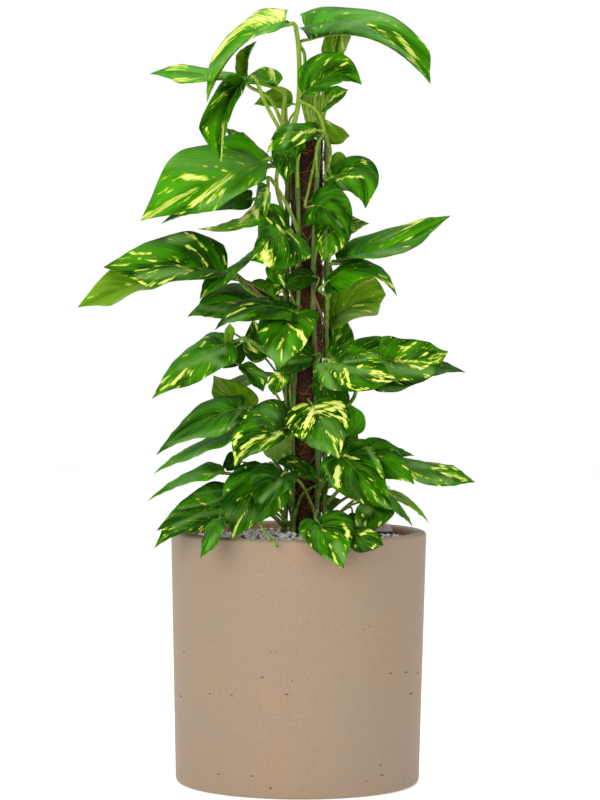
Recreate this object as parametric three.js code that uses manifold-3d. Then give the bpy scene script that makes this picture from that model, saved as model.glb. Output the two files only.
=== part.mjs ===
// A golden pothos on a coir pole in a round sand-coloured planter.
// Millimetres, +Z up. Origin at the middle of the planter's underside, the front towards -Y.
import * as THREE from "three";
import { mergeVertices } from "three/addons/utils/BufferGeometryUtils.js";
import Module from "manifold-3d";

const wasm = await Module();
wasm.setup();

// Driving dimensions.
const GAP = 0.4;
const SIDES = 44;
const PLANTER = { height: 395, top: 200, foot: 191, wall: 22, floor: 20, rim: 6, heel: 8 };
const FILL = { edge: 380, crown: 392, ripple: 1.6, rings: 5, sides: 24 };
const POLE = { x: 10, core: 11, outer: 24, foot: 90, top: 1008, sides: 20 };
const VINE = { radius: 4.4, sides: 6, step: 44, clear: 2.6, foot: 345, spread: 12, room: 2.4 };
const STALK = { radius: 2.1, tip: 0.4, sides: 4, steps: 3, rise: 70 };
const BLADE = { thickness: 0.9, small: 85, cup: 0.1, wave: 0.025 };
const EDGE = { halfWidth: 0.36, broadest: 0.22, narrower: 0.68, narrowing: 0.56, ease: 1.5 };
const GAUGE = { x: 136, y: 80, collar: 14, tube: 7, bore: 5.2, rod: 3, top: 452, cap: 9 };

// The leaves are placed as seen from the front: each point is [x, z, y], where x and z are read
// on the upright plane through the pole and y is the point's depth, less towards the front.
const EYE = { x: 0.7, y: -5200, z: 820 };

// Half of a blade's outline, from the stalk round the lobe to the tip: [along, across].
const OUTLINE = [
  [0, 0],
  [-0.06, 0.22],
  [-0.07, 0.52],
  [0.02, 0.84],
  [0.22, 1],
  [0.45, 0.88],
  [0.68, 0.56],
  [0.86, 0.23],
  [1, 0],
];

// Each vine climbs at its own angle round the pole, in degrees from +X, up to its own height.
const VINES = {
  left: { angle: 185, top: 1010 },
  front_left: { angle: 238, top: 985 },
  front_right: { angle: 298, top: 1010 },
  right: { angle: 352, top: 1035 },
  back_right: { angle: 55, top: 1000 },
  back_left: { angle: 125, top: 1015 },
};

// A leaf: its vine, how far its lobes reach back, and the midrib's base, middle and tip. Then
// each edge where the blade is broadest and again near the tip: an edge's third number says
// whether it leans away (1) or forward (-1). A shown stalk ends the row: the height where it
// leaves the vine, and the points it passes.
const LEAVES = [
  ["left", -0.5, [-26, 1184, -20], [-99, 1148, -42], [-147, 1064, -50], [-62, 1208, 1],
    [-137, 1128, 1], [-52, 1168, -1], [-112, 1124, -1], [1002, [-5, 1060, -12],
    [-5, 1150, -14], [-9, 1178, -16]]],
  ["left", 1, [-86, 1106, 25], [-84, 1132, 28], [-70, 1159, 30],
    [-104, 1126, 1], [-94, 1144, 1], [-82, 1124, -1], [-78, 1146, -1]],
  ["left", 0, [-42, 1087, 2], [-130, 1102, -4], [-236, 1107, -4], [-77, 1097, 1],
    [-190, 1119, 1], [-80, 1094, -1], [-186, 1083, -1], [990, [-29, 1042, -4]]],
  ["front_left", 0.3, [-88, 1096, -82], [-118, 1048, -100], [-124, 969, -104],
    [-134, 1074, -1], [-157, 1020, -1], [-92, 1078, -1], [-112, 1022, -1],
    [975, [-56, 1062, -50]]],
  ["left", 0.6, [-15, 1062, 24], [-42, 1066, 30], [-74, 1060, 34],
    [-32, 1087, 1], [-58, 1077, 1], [-34, 1054, -1], [-60, 1057, -1]],
  ["right", -0.6, [11, 1162, -12], [112, 1163, -38], [201, 1094, -50], [52, 1222, 1],
    [196, 1133, 1], [44, 1184, -1], [146, 1144, -1], [1020, [8, 1080, -14], [4, 1140, -14]]],
  ["right", 0.6, [3, 1078, -34], [50, 1104, -64], [94, 1092, -88],
    [26, 1140, 1], [80, 1126, 1], [36, 1080, -1], [68, 1094, -1]],
  ["back_right", 1, [60, 1182, 34], [54, 1150, 38], [48, 1112, 40],
    [36, 1164, 1], [32, 1138, 1], [75, 1164, -1], [66, 1140, -1]],
  ["right", 0.3, [30, 1051, -2], [50, 1068, -6], [73, 1084, -6],
    [34, 1078, 1], [56, 1090, 1], [48, 1056, -1], [68, 1074, -1]],
  ["back_right", 1, [28, 1036, 24], [52, 1024, 28], [76, 1012, 28],
    [44, 1035, 1], [65, 1023, 1], [40, 1002, -1], [64, 1000, -1]],
  ["front_right", 1, [23, 1020, -80], [-16, 1012, -98], [-54, 985, -104],
    [2, 1034, 1], [-40, 1018, 1], [2, 998, -1], [-30, 988, -1]],
  ["front_left", 1, [-4, 1002, -66], [-22, 974, -80], [-22, 937, -86],
    [-44, 994, -1], [-38, 958, -1], [-2, 985, 1], [-11, 958, 1]],
  ["left", -0.4, [-51, 975, -25], [-146, 937, -52], [-250, 878, -62], [-140, 1005, 1],
    [-211, 962, 1], [-96, 915, -1], [-158, 888, -1], [872, [-38, 935, -26]]],
  ["back_left", 0.3, [-52, 977, 40], [-85, 1003, 48], [-122, 1024, 52],
    [-68, 991, 1], [-98, 1015, 1], [-78, 982, -1], [-112, 1004, -1]],
  ["left", 0.3, [-78, 912, 34], [-145, 901, 32], [-217, 874, 30],
    [-110, 924, 1], [-165, 911, 1], [-104, 894, -1], [-174, 884, -1]],
  ["front_left", 0.4, [-51, 934, -50], [-80, 874, -70], [-160, 866, -80], [-72, 908, 1],
    [-108, 876, 1], [-56, 886, -1], [-118, 860, -1]],
  ["front_left", 1.6, [-21, 863, -70], [-52, 847, -115], [-80, 817, -140], [-57, 904, -1],
    [-70, 852, -1], [12, 820, -1], [-42, 801, -1]],
  ["front_right", 1.4, [19, 903, -60], [50, 893, -82], [76, 853, -92],
    [56, 932, 1], [81, 890, 1], [10, 870, -1], [54, 866, -1],
    [1000, [19, 962, -42], [11, 922, -52]]],
  ["right", 1.3, [47, 947, -36], [90, 948, -58], [101, 899, -70], [81, 981, 1], [122, 940, 1],
    [50, 918, -1], [86, 917, -1], [1008, [36, 1012, -14], [45, 985, -30]]],
  ["right", 0.5, [42, 952, 12], [56, 970, 14], [70, 980, 14],
    [50, 983, 1], [64, 986, 1], [62, 958, -1], [70, 972, -1]],
  ["front_right", 1, [42, 882, -44], [46, 850, -54], [33, 815, -60],
    [79, 864, -1], [58, 831, -1], [21, 862, 1], [27, 834, 1]],
  ["right", 0.5, [52, 868, -10], [80, 872, -14], [107, 876, -14],
    [70, 888, 1], [92, 881, 1], [70, 857, -1], [92, 866, -1]],
  ["right", 0.4, [60, 814, -46], [140, 838, -62], [234, 889, -56], [82, 849, 1], [192, 880, 1],
    [92, 820, -1], [188, 837, -1]],
  ["right", 0.1, [42, 783, -72], [100, 804, -90], [151, 763, -98],
    [72, 812, 1], [128, 802, 1], [64, 770, -1], [112, 788, -1]],
  ["back_right", 0.5, [46, 722, 38], [92, 755, 30], [134, 764, 34],
    [56, 784, 1], [114, 794, 1], [76, 724, -1], [122, 734, -1]],
  ["left", 0.2, [-116, 797, -34], [-205, 808, -50], [-308, 805, -44], [-160, 857, 1],
    [-248, 839, 1], [-160, 792, -1], [-236, 771, -1], [742, [-84, 774, -32]]],
  ["back_left", 0.4, [-200, 786, 16], [-275, 771, 12], [-348, 742, 8], [-232, 818, 1],
    [-300, 797, 1], [-236, 774, -1], [-294, 743, -1], [745, [-92, 786, 20]]],
  ["left", 0.2, [-70, 829, -64], [-120, 791, -74], [-157, 756, -78], [-102, 808, 1],
    [-147, 788, 1], [-88, 804, -1], [-127, 770, -1]],
  ["back_left", 0.5, [-60, 754, 40], [-118, 751, 42], [-176, 729, 36],
    [-90, 781, 1], [-136, 764, 1], [-100, 727, -1], [-142, 725, -1]],
  ["back_left", 0.3, [-92, 766, 76], [-125, 764, 78], [-158, 750, 78],
    [-108, 778, 1], [-142, 771, 1], [-110, 752, -1], [-140, 750, -1]],
  ["front_left", 0.5, [-14, 738, -68], [-75, 744, -86], [-133, 708, -96],
    [-34, 756, 1], [-106, 740, 1], [-38, 724, -1], [-98, 718, -1]],
  ["back_left", 1, [-34, 752, 44], [-58, 766, 46], [-84, 774, 46],
    [-52, 785, 1], [-74, 785, 1], [-50, 750, -1], [-72, 762, -1]],
  ["front_left", 1, [-30, 797, -32], [-40, 780, -38], [-42, 758, -42],
    [-56, 784, -1], [-52, 768, -1], [-24, 780, 1], [-30, 766, 1]],
  ["front_left", 1, [-50, 808, -50], [-38, 796, -56], [-24, 777, -60],
    [-30, 812, 1], [-24, 792, 1], [-50, 790, -1], [-34, 780, -1]],
  ["front_right", 1, [20, 793, -38], [0, 790, -50], [-24, 771, -56],
    [2, 808, 1], [-20, 790, 1], [10, 776, -1], [-12, 769, -1]],
  ["front_left", 1.8, [-17, 727, -72], [-26, 698, -96], [-32, 646, -108],
    [-64, 722, -1], [-56, 676, -1], [30, 734, -1], [4, 678, -1]],
  ["left", 0.5, [-50, 668, -16], [-66, 690, -18], [-73, 727, -18],
    [-86, 670, 1], [-84, 704, 1], [-42, 692, -1], [-60, 714, -1]],
  ["left", 0.5, [-92, 651, -24], [-74, 634, -32], [-57, 612, -36],
    [-66, 652, 1], [-50, 632, 1], [-88, 640, -1], [-73, 621, -1]],
  ["left", 0.4, [-113, 688, -44], [-168, 660, -62], [-231, 600, -70], [-148, 697, 1],
    [-200, 650, 1], [-114, 652, -1], [-172, 618, -1], [655, [-64, 684, -50], [-86, 696, -52]]],
  ["left", 0.5, [-104, 690, 6], [-104, 668, 10], [-120, 648, 14],
    [-84, 672, 1], [-98, 652, 1], [-124, 672, -1], [-126, 654, -1]],
  ["left", 0.5, [-85, 582, 6], [-108, 606, 8], [-135, 637, 8],
    [-68, 608, 1], [-102, 629, 1], [-116, 582, -1], [-138, 610, -1]],
  ["left", 0.6, [-90, 585, -48], [-150, 565, -66], [-224, 512, -74],
    [-120, 605, 1], [-184, 557, 1], [-104, 554, -1], [-165, 533, -1]],
  ["left", 0.5, [-95, 545, -34], [-158, 522, -46], [-227, 483, -54], [-124, 541, 1],
    [-180, 515, 1], [-120, 532, -1], [-166, 502, -1]],
  ["left", 0.3, [-120, 484, -46], [-167, 475, -56], [-237, 440, -60], [-136, 496, 1],
    [-186, 474, 1], [-141, 479, -1], [-192, 457, -1]],
  ["left", 0.5, [-112, 436, -62], [-160, 424, -80], [-223, 393, -88],
    [-130, 468, 1], [-188, 432, 1], [-124, 412, -1], [-178, 398, -1]],
  ["left", 0.5, [-112, 414, -108], [-165, 402, -118], [-226, 366, -122],
    [-146, 424, 1], [-206, 404, 1], [-135, 398, -1], [-186, 386, -1]],
  ["front_left", 0.3, [-124, 412, -160], [-137, 386, -198], [-154, 350, -204],
    [-145, 396, 1], [-151, 372, 1], [-118, 398, -1], [-129, 367, -1]],
  ["front_left", 1.2, [-20, 555, -84], [-60, 536, -114], [-101, 493, -128],
    [-58, 597, 1], [-106, 540, 1], [-36, 530, -1], [-78, 511, -1]],
  ["front_right", 1.4, [20, 592, -100], [42, 556, -128], [63, 507, -138],
    [-20, 560, -1], [18, 525, -1], [77, 586, -1], [72, 540, -1]],
  ["right", 1, [66, 542, -8], [88, 562, -14], [78, 594, -14],
    [101, 554, 1], [99, 580, 1], [72, 564, -1], [70, 584, -1]],
  ["right", 1, [60, 540, 12], [78, 546, 12], [94, 533, 12],
    [76, 560, 1], [90, 548, 1], [72, 532, -1], [84, 530, -1]],
  ["front_left", 1, [-24, 545, -24], [-32, 526, -30], [-24, 502, -32],
    [-58, 526, 1], [-42, 506, 1], [-16, 532, -1], [-16, 512, -1]],
  ["left", 1, [-92, 502, -14], [-108, 502, -16], [-120, 494, -16],
    [-106, 518, 1], [-116, 506, 1], [-104, 488, -1], [-114, 488, -1]],
  ["front_left", 1, [-52, 490, -100], [-80, 440, -144], [-103, 380, -178],
    [-114, 474, -1], [-115, 414, -1], [-14, 444, -1], [-60, 406, -1]],
  ["front_right", 1.3, [-27, 480, -134], [-44, 456, -170], [-61, 420, -188],
    [-72, 494, -1], [-72, 446, -1], [-4, 472, -1], [-42, 438, -1]],
  ["front_left", 1, [25, 478, -48], [-5, 494, -58], [-37, 501, -62],
    [2, 508, 1], [-22, 509, 1], [8, 478, -1], [-20, 490, -1]],
  ["back_right", 1, [8, 500, 48], [28, 484, 62], [54, 462, 70],
    [36, 500, 1], [52, 478, 1], [8, 466, -1], [34, 458, -1]],
  ["front_right", 1, [66, 513, -82], [106, 472, -108], [148, 427, -120],
    [42, 472, -1], [102, 436, -1], [116, 524, -1], [139, 464, -1]],
  ["right", 0.5, [78, 520, -26], [130, 522, -38], [180, 513, -38],
    [108, 538, 1], [150, 523, 1], [104, 504, -1], [150, 505, -1]],
  ["right", 0.8, [98, 521, -60], [142, 502, -78], [181, 468, -86],
    [136, 536, 1], [168, 500, 1], [110, 478, -1], [150, 474, -1]],
  ["right", 0.4, [162, 503, -30], [215, 488, -42], [276, 472, -46],
    [194, 499, 1], [243, 494, 1], [184, 477, -1], [238, 463, -1]],
  ["back_right", 0.2, [137, 457, 6], [174, 442, 0], [203, 408, -4],
    [154, 451, 1], [186, 426, 1], [154, 446, -1], [184, 421, -1]],
  ["right", 0.2, [138, 450, -40], [160, 427, -46], [178, 402, -48],
    [150, 441, 1], [168, 418, 1], [146, 433, -1], [164, 413, -1]],
  ["right", 1, [118, 434, -66], [105, 414, -80], [86, 389, -86],
    [91, 432, -1], [87, 404, -1], [149, 420, -1], [112, 394, -1]],
  ["front_right", 1, [76, 392, -192], [106, 386, -204], [133, 372, -196],
    [98, 399, 1], [124, 391, 1], [92, 361, -1], [116, 364, -1]],
  ["front_right", 1.8, [30, 408, -170], [48, 378, -208], [70, 333, -218],
    [1, 391, -1], [36, 354, -1], [83, 414, -1], [81, 368, -1]],
  ["right", 1, [84, 423, -34], [85, 408, -36], [82, 386, -38],
    [94, 406, 1], [92, 394, 1], [72, 408, -1], [74, 394, -1]],
  ["right", 0.5, [56, 656, -56], [116, 672, -72], [178, 684, -74],
    [92, 693, 1], [148, 695, 1], [90, 638, -1], [132, 654, -1]],
  ["right", 0.5, [124, 668, -84], [180, 660, -94], [232, 677, -94],
    [150, 699, 1], [204, 691, 1], [150, 632, -1], [206, 637, -1]],
  ["front_right", 2.2, [53, 659, -114], [102, 643, -140], [151, 633, -146], [84, 685, 1],
    [130, 663, 1], [42, 619, -1], [117, 616, -1]],
  ["right", 0.5, [110, 640, -34], [186, 651, -42], [259, 644, -38], [160, 668, 1],
    [214, 659, 1], [154, 615, -1], [208, 635, -1], [560, [84, 602, -24]]],
  ["back_right", 1, [42, 664, 26], [58, 690, 28], [73, 727, 28],
    [36, 692, 1], [52, 720, 1], [82, 682, -1], [82, 708, -1]],
  ["front_right", 1, [36, 640, -40], [48, 614, -46], [60, 584, -48],
    [20, 612, -1], [42, 590, -1], [76, 612, 1], [74, 592, 1]],
  ["front_right", 1, [22, 670, -50], [-6, 660, -64], [-37, 643, -68],
    [-6, 690, 1], [-30, 664, 1], [6, 647, -1], [-20, 640, -1]],
  ["front_left", 1, [-22, 642, -44], [-34, 628, -48], [-40, 606, -50],
    [-46, 636, 1], [-48, 616, 1], [-18, 628, -1], [-30, 612, -1]],
  ["left", 0.2, [-41, 1087, 0], [-60, 1098, -4], [-82, 1106, -6], [-36, 1111, 1],
    [-62, 1118, 1], [-50, 1091, -1], [-72, 1101, -1], [985, [-24, 1040, 4]]],
  ["left", 0, [-113, 687, -46], [-111, 702, -50], [-110, 719, -50], [-104, 697, 1],
    [-103, 711, 1], [-118, 697, -1], [-117, 710, -1], [648, [-62, 678, -44], [-84, 691, -45]]],
];

// A leaf of the far side: its vine, the way it points in degrees from +X, the height of its base,
// its length and how far its tip drops.
const FAR_LEAVES = [
  ["back_left", 144, 964, 126, 44],
  ["back_left", 100, 985, 96, 70],
  ["back_left", 106, 868, 134, 48],
  ["back_right", 76, 912, 104, 62],
  ["back_right", 30, 838, 132, -10],
  ["back_right", 84, 806, 90, 34],
  ["back_left", 106, 758, 130, 64],
  ["back_right", 74, 716, 98, 40],
  ["back_left", 138, 638, 140, 56],
  ["back_right", 94, 634, 94, 50],
  ["back_left", 148, 560, 118, 22],
  ["back_right", 42, 532, 136, 42],
  ["back_left", 104, 596, 86, 66],
  ["back_right", 78, 446, 110, 30],
  ["back_left", 140, 474, 124, 38],
];
const FAR = { reach: 60, lobes: 0.6, span: 0.86, sag: 0.2 };

const COLOUR = {
  sand: "#b7a086",
  pebble: "#c9c2bd",
  wood: "#8a6a48",
  coir: "#4a2a16",
  leaf: "#2f7d1e",
  gauge: "#2b2a2e",
  clear: "#dcdde4",
  red: "#9c2a22",
};

function material(colour, roughness = 0.6, metalness = 0) {
  return new THREE.MeshStandardMaterial({ color: colour, roughness, metalness });
}

const plant = new THREE.Group();

function addNode(name, geometry, look) {
  const mesh = new THREE.Mesh(geometry, look);
  mesh.name = name;
  plant.add(mesh);
}

// A geometry as a solid that can be joined and cut, and back.
function toSolid(geometry) {
  const bare = geometry.clone();
  bare.deleteAttribute("normal");
  bare.deleteAttribute("uv");
  const merged = mergeVertices(bare, 1e-3);
  return new wasm.Manifold(
    new wasm.Mesh({
      numProp: 3,
      vertProperties: new Float32Array(merged.attributes.position.array),
      triVerts: new Uint32Array(merged.index.array),
    }),
  );
}

function toGeometry(solid) {
  const mesh = solid.getMesh();
  return new THREE.BufferGeometry()
    .setAttribute("position", new THREE.BufferAttribute(mesh.vertProperties, 3))
    .setIndex(new THREE.BufferAttribute(mesh.triVerts, 1));
}

// The largest body of a solid: a loose scrap of a join is dropped.
function wholeOf(solid) {
  const bodies = solid.decompose();
  return bodies.reduce((best, body) => (body.volume() > best.volume() ? body : best));
}

// A closed surface of revolution about the upright axis, its profile given as [radius, height].
function turned(profile, sides, x = 0, y = 0) {
  const points = profile.map(([r, z]) => new THREE.Vector2(r, z));
  return new THREE.LatheGeometry(points, sides).rotateX(Math.PI / 2).translate(x, y, 0);
}

function post(radius, from, to, sides, x, y) {
  return turned([[0, from], [radius, from], [radius, to], [0, to]], sides, x, y);
}

// A quarter round between two directions, for the planter's rim and foot.
function roundCorner(centre, radius, from, to, steps) {
  return Array.from({ length: steps + 1 }, (_, i) => {
    const angle = from + ((to - from) * i) / steps;
    return [centre[0] + radius * Math.cos(angle), centre[1] + radius * Math.sin(angle)];
  });
}

// The planter's outer and inner radius at a height.
function outerRadius(z) {
  return PLANTER.foot + ((PLANTER.top - PLANTER.foot) * z) / PLANTER.height;
}

function innerRadius(z) {
  return outerRadius(z) - PLANTER.wall;
}

function makePlanter() {
  const { height, floor, rim, heel, foot, top, wall } = PLANTER;
  const quarter = Math.PI / 2;
  return turned(
    [
      [0, 0],
      ...roundCorner([foot - heel, heel], heel, -quarter, 0, 2),
      ...roundCorner([top - rim, height - rim], rim, 0, quarter, 2),
      ...roundCorner([top - wall + rim, height - rim], rim, quarter, 2 * quarter, 2),
      [innerRadius(floor), floor],
      [0, floor],
    ],
    SIDES,
  );
}

// The granulate: it fills the planter and swells towards the pole, with a pebbly top.
function fillHeight(r, angle) {
  const edge = innerRadius(FILL.edge);
  const swell = 0.5 + 0.5 * Math.cos((Math.PI * r) / edge);
  const ripple = Math.sin(r / 7 + 3 * angle) * Math.cos(5 * angle - r / 11);
  return FILL.edge + (FILL.crown - FILL.edge) * swell + FILL.ripple * ripple;
}

function makeFill() {
  const { edge, rings, sides } = FILL;
  const flat = Math.cos(Math.PI / SIDES);
  const outer = innerRadius(edge) * flat - GAP;
  const bottom = PLANTER.floor + GAP;
  const foot = innerRadius(bottom) * flat - GAP;
  const points = [new THREE.Vector3(0, 0, fillHeight(0, 0)), new THREE.Vector3(0, 0, bottom)];
  const faces = [];
  const at = (ring, i) => 2 + ring * sides + (i % sides);
  for (let ring = 0; ring <= rings; ring += 1) {
    const low = ring === rings;
    const r = low ? foot : (outer * (ring + 1)) / rings;
    for (let i = 0; i < sides; i += 1) {
      const angle = (2 * Math.PI * i) / sides;
      const z = low ? bottom : fillHeight(r, angle);
      points.push(new THREE.Vector3(r * Math.cos(angle), r * Math.sin(angle), z));
    }
  }
  for (let i = 0; i < sides; i += 1) {
    faces.push([0, at(0, i), at(0, i + 1)]);
    faces.push([1, at(rings, i + 1), at(rings, i)]);
    for (let ring = 0; ring < rings; ring += 1) {
      faces.push([at(ring, i), at(ring + 1, i), at(ring + 1, i + 1)]);
      faces.push([at(ring, i), at(ring + 1, i + 1), at(ring, i + 1)]);
    }
  }
  return facesToGeometry(points, faces);
}

function facesToGeometry(points, faces) {
  return new THREE.BufferGeometry().setFromPoints(points).setIndex(faces.flat());
}

// A round rod along a curve, closed at both ends, its radius given along the way.
function rod(curve, radiusAt, sides, steps) {
  const frames = curve.computeFrenetFrames(steps, false);
  const points = [curve.getPointAt(0), curve.getPointAt(1)];
  const faces = [];
  const at = (ring, i) => 2 + ring * sides + (i % sides);
  for (let ring = 0; ring <= steps; ring += 1) {
    const centre = curve.getPointAt(ring / steps);
    for (let i = 0; i < sides; i += 1) {
      const angle = (2 * Math.PI * i) / sides;
      const radius = radiusAt(ring / steps);
      const point = centre.clone();
      point.addScaledVector(frames.normals[ring], radius * Math.cos(angle));
      point.addScaledVector(frames.binormals[ring], radius * Math.sin(angle));
      points.push(point);
    }
  }
  for (let i = 0; i < sides; i += 1) {
    faces.push([0, at(0, i + 1), at(0, i)]);
    faces.push([1, at(steps, i), at(steps, i + 1)]);
    for (let ring = 0; ring < steps; ring += 1) {
      faces.push([at(ring, i), at(ring, i + 1), at(ring + 1, i + 1)]);
      faces.push([at(ring, i), at(ring + 1, i + 1), at(ring + 1, i)]);
    }
  }
  return facesToGeometry(points, faces);
}

// A point on a vine's centre line: it keeps to the pole, swings a little, and spreads at its foot.
function vinePoint(name, z) {
  const { angle } = VINES[name];
  const swing = 0.16 * Math.sin(z / 95 + angle);
  const low = Math.max(0, 1 - (z - VINE.foot) / 90);
  const reach = POLE.outer + VINE.radius + VINE.clear + VINE.spread * low * low;
  const lean = 0.5 * Math.max(0, z - POLE.top);
  const turn = THREE.MathUtils.degToRad(angle) + swing;
  const r = reach - Math.min(lean, 10);
  return new THREE.Vector3(POLE.x + r * Math.cos(turn), r * Math.sin(turn), z);
}

function vineCurve(name) {
  const { top } = VINES[name];
  const count = Math.round((top - VINE.foot) / VINE.step);
  const points = Array.from({ length: count + 1 }, (_, i) =>
    vinePoint(name, VINE.foot + ((top - VINE.foot) * i) / count),
  );
  return new THREE.CatmullRomCurve3(points);
}

// A reading on the upright plane, carried along the line of sight to its own depth.
function placed([x, z, y]) {
  const scale = (y - EYE.y) / -EYE.y;
  return new THREE.Vector3(EYE.x + (x - EYE.x) * scale, y, EYE.z + (z - EYE.z) * scale);
}

// The midrib passes through the leaf's middle point.
function midribOf(base, middle, tip) {
  const pull = middle.clone().multiplyScalar(2).addScaledVector(base, -0.5).addScaledVector(tip, -0.5);
  return new THREE.QuadraticBezierCurve3(base, pull, tip);
}

// An edge reading gives how far the edge seems to reach: the half width's rest goes into depth.
function sideVector(centre, [x, z, lean], halfWidth) {
  const side = placed([x, z, centre.y]).sub(centre);
  side.y = lean * Math.sqrt(Math.max(0, halfWidth ** 2 - side.lengthSq()));
  return side;
}

// One place on the outline, by a smooth curve through its points.
function outlineAt(share) {
  const last = OUTLINE.length - 1;
  const place = Math.min(share * last, last - 1e-9);
  const i = Math.floor(place);
  const t = place - i;
  const at = (k) => OUTLINE[Math.min(Math.max(k, 0), last)];
  const smooth = (a, b, c, d) =>
    b + 0.5 * t * (c - a + t * (2 * a - 5 * b + 4 * c - d + t * (3 * (b - c) + d - a)));
  return [0, 1].map((axis) => smooth(at(i - 1)[axis], at(i)[axis], at(i + 1)[axis], at(i + 2)[axis]));
}

// How the midrib turns between two places along it.
function turnBetween(curve, from, to) {
  return new THREE.Quaternion().setFromUnitVectors(curve.getTangent(from), curve.getTangent(to));
}

// The frame of a leaf: where its flat place (along, across, side) lies in space. Each side has
// two vectors to its edge, both carried back to the broadest place, which the blade blends.
function leafFrame([, lobes, base, middle, tip, ...edges], turn) {
  const curve = midribOf(placed(base), placed(middle), placed(tip));
  const length = curve.getLength();
  const halfWidth = EDGE.halfWidth * length;
  const { broadest, narrower, narrowing } = EDGE;
  const back = turnBetween(curve, narrower, broadest);
  const [nearA, farA, nearB, farB] = edges;
  const sides = [[nearA, farA], [nearB, farB]].map(([near, far]) => [
    sideVector(curve.getPoint(broadest), near, halfWidth),
    sideVector(curve.getPoint(narrower), far, halfWidth * narrowing)
      .divideScalar(narrowing)
      .applyQuaternion(back),
  ]);
  const frame = { curve, length, lobes, sides, phase: (base[0] * 7 + base[1] * 3) % 6.28 };
  const up = upAt(frame, broadest);
  if (up.z - up.y * turn < 0) {
    sides.reverse();
  }
  return frame;
}

function sideAt({ curve, sides }, along, side) {
  const { broadest, narrower } = EDGE;
  const inside = Math.max(along, 0);
  const share = THREE.MathUtils.clamp((along - broadest) / (narrower - broadest), 0, 1);
  const [near, far] = sides[side];
  const blend = near.clone().lerp(far, share ** EDGE.ease);
  return blend.applyQuaternion(turnBetween(curve, broadest, inside));
}

function upAt(frame, along) {
  const across = sideAt(frame, along, 0).sub(sideAt(frame, along, 1));
  return frame.curve.getTangent(Math.max(along, 0)).cross(across).normalize();
}

function leafPoint(frame, along, across, side) {
  const { curve, length, lobes, phase } = frame;
  const inside = Math.max(along, 0);
  const point = curve.getPoint(inside);
  point.addScaledVector(curve.getTangent(inside), (along - inside) * length * lobes);
  point.addScaledVector(sideAt(frame, along, side), across);
  const swell = BLADE.cup * 4 * across * (1 - across) * EDGE.halfWidth;
  const wave = BLADE.wave * across ** 2 * Math.sin(9 * along + phase + 2.4 * side);
  return point.addScaledVector(upAt(frame, along), (swell + wave) * length);
}

// The blade's middle surface: rows run from the midrib out along the side veins to the edge.
function bladeSurface(frame, { rows, columns }) {
  const points = [];
  const faces = [];
  const index = new Map();
  const vertex = (row, column, side) => {
    const onRib = column === 0;
    const atTip = row === rows;
    const key = atTip ? "tip" : [row, column, onRib ? 0 : side].join();
    if (!index.has(key)) {
      const share = row / rows;
      const [edgeAlong, edgeAcross] = outlineAt(0.1 + 0.9 * share);
      const root = atTip ? 1 : share ** 2.6;
      const s = column / columns;
      index.set(key, points.length);
      points.push(leafPoint(frame, root + (edgeAlong - root) * s, edgeAcross * s, side));
    }
    return index.get(key);
  };
  for (let side = 0; side < 2; side += 1) {
    for (let row = 0; row < rows; row += 1) {
      for (let column = 0; column < columns; column += 1) {
        const a = vertex(row, column, side);
        const b = vertex(row + 1, column, side);
        const c = vertex(row + 1, column + 1, side);
        const d = vertex(row, column + 1, side);
        const cell = row === rows - 1 ? [[a, b, d]] : [[a, b, d], [b, c, d]];
        faces.push(...cell.map((face) => (side === 0 ? face : face.reverse())));
      }
    }
  }
  return { points, faces };
}

// A thin surface given its thickness: both skins, and a wall along every open edge.
function thicken({ points, faces }, thickness) {
  const skin = facesToGeometry(points, faces);
  skin.computeVertexNormals();
  const normals = skin.getAttribute("normal");
  const count = points.length;
  const shifted = (sign) =>
    points.map((point, i) => {
      const normal = new THREE.Vector3().fromBufferAttribute(normals, i);
      return point.clone().addScaledVector(normal, (sign * thickness) / 2);
    });
  const directed = new Set();
  faces.forEach(([a, b, c]) => [[a, b], [b, c], [c, a]].forEach((edge) => directed.add(edge.join())));
  const walls = [];
  directed.forEach((key) => {
    const [a, b] = key.split(",").map(Number);
    if (!directed.has([b, a].join())) walls.push([b, a, a + count], [b, a + count, b + count]);
  });
  const under = faces.map(([a, b, c]) => [c + count, b + count, a + count]);
  return facesToGeometry([...shifted(1), ...shifted(-1)], [...faces, ...under, ...walls]);
}

// The stalk leaves its vine below the blade, rises, and bends over into the midrib.
function stalkGeometry(row, frame) {
  const [name, , , , , , , , , shown] = row;
  const base = frame.curve.getPoint(0);
  const into = frame.curve.getTangent(0);
  const vineTop = VINES[name].top - 6;
  const [leaves, ...passed] = shown || [base.z - STALK.rise];
  const start = vinePoint(name, THREE.MathUtils.clamp(leaves, 402, vineTop));
  const span = start.distanceTo(base);
  const rise = start.clone().lerp(base, 0.45);
  rise.z += 0.16 * span;
  const between = shown ? passed.map(placed) : [rise];
  const reach = Math.min(0.16 * span, 16);
  const bend = base.clone().addScaledVector(into, -reach);
  const end = frame.curve.getPoint(0.04);
  const path = new THREE.CatmullRomCurve3([start, ...between, bend, base, end]);
  const radiusAt = (t) => STALK.radius + (STALK.tip - STALK.radius) * t;
  return rod(path, radiusAt, STALK.sides, STALK.steps + passed.length);
}

function leafSolid(row, turn) {
  const frame = leafFrame(row, turn);
  const blade = toSolid(thicken(bladeSurface(frame, gridOf(frame, turn)), BLADE.thickness));
  return blade.add(toSolid(stalkGeometry(row, frame)));
}

// Small leaves and those of the far side have fewer rows of faces.
function gridOf(frame, turn) {
  if (turn < 0) return { rows: 6, columns: 1 };
  return frame.length < BLADE.small ? { rows: 5, columns: 1 } : { rows: 6, columns: 2 };
}

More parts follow.
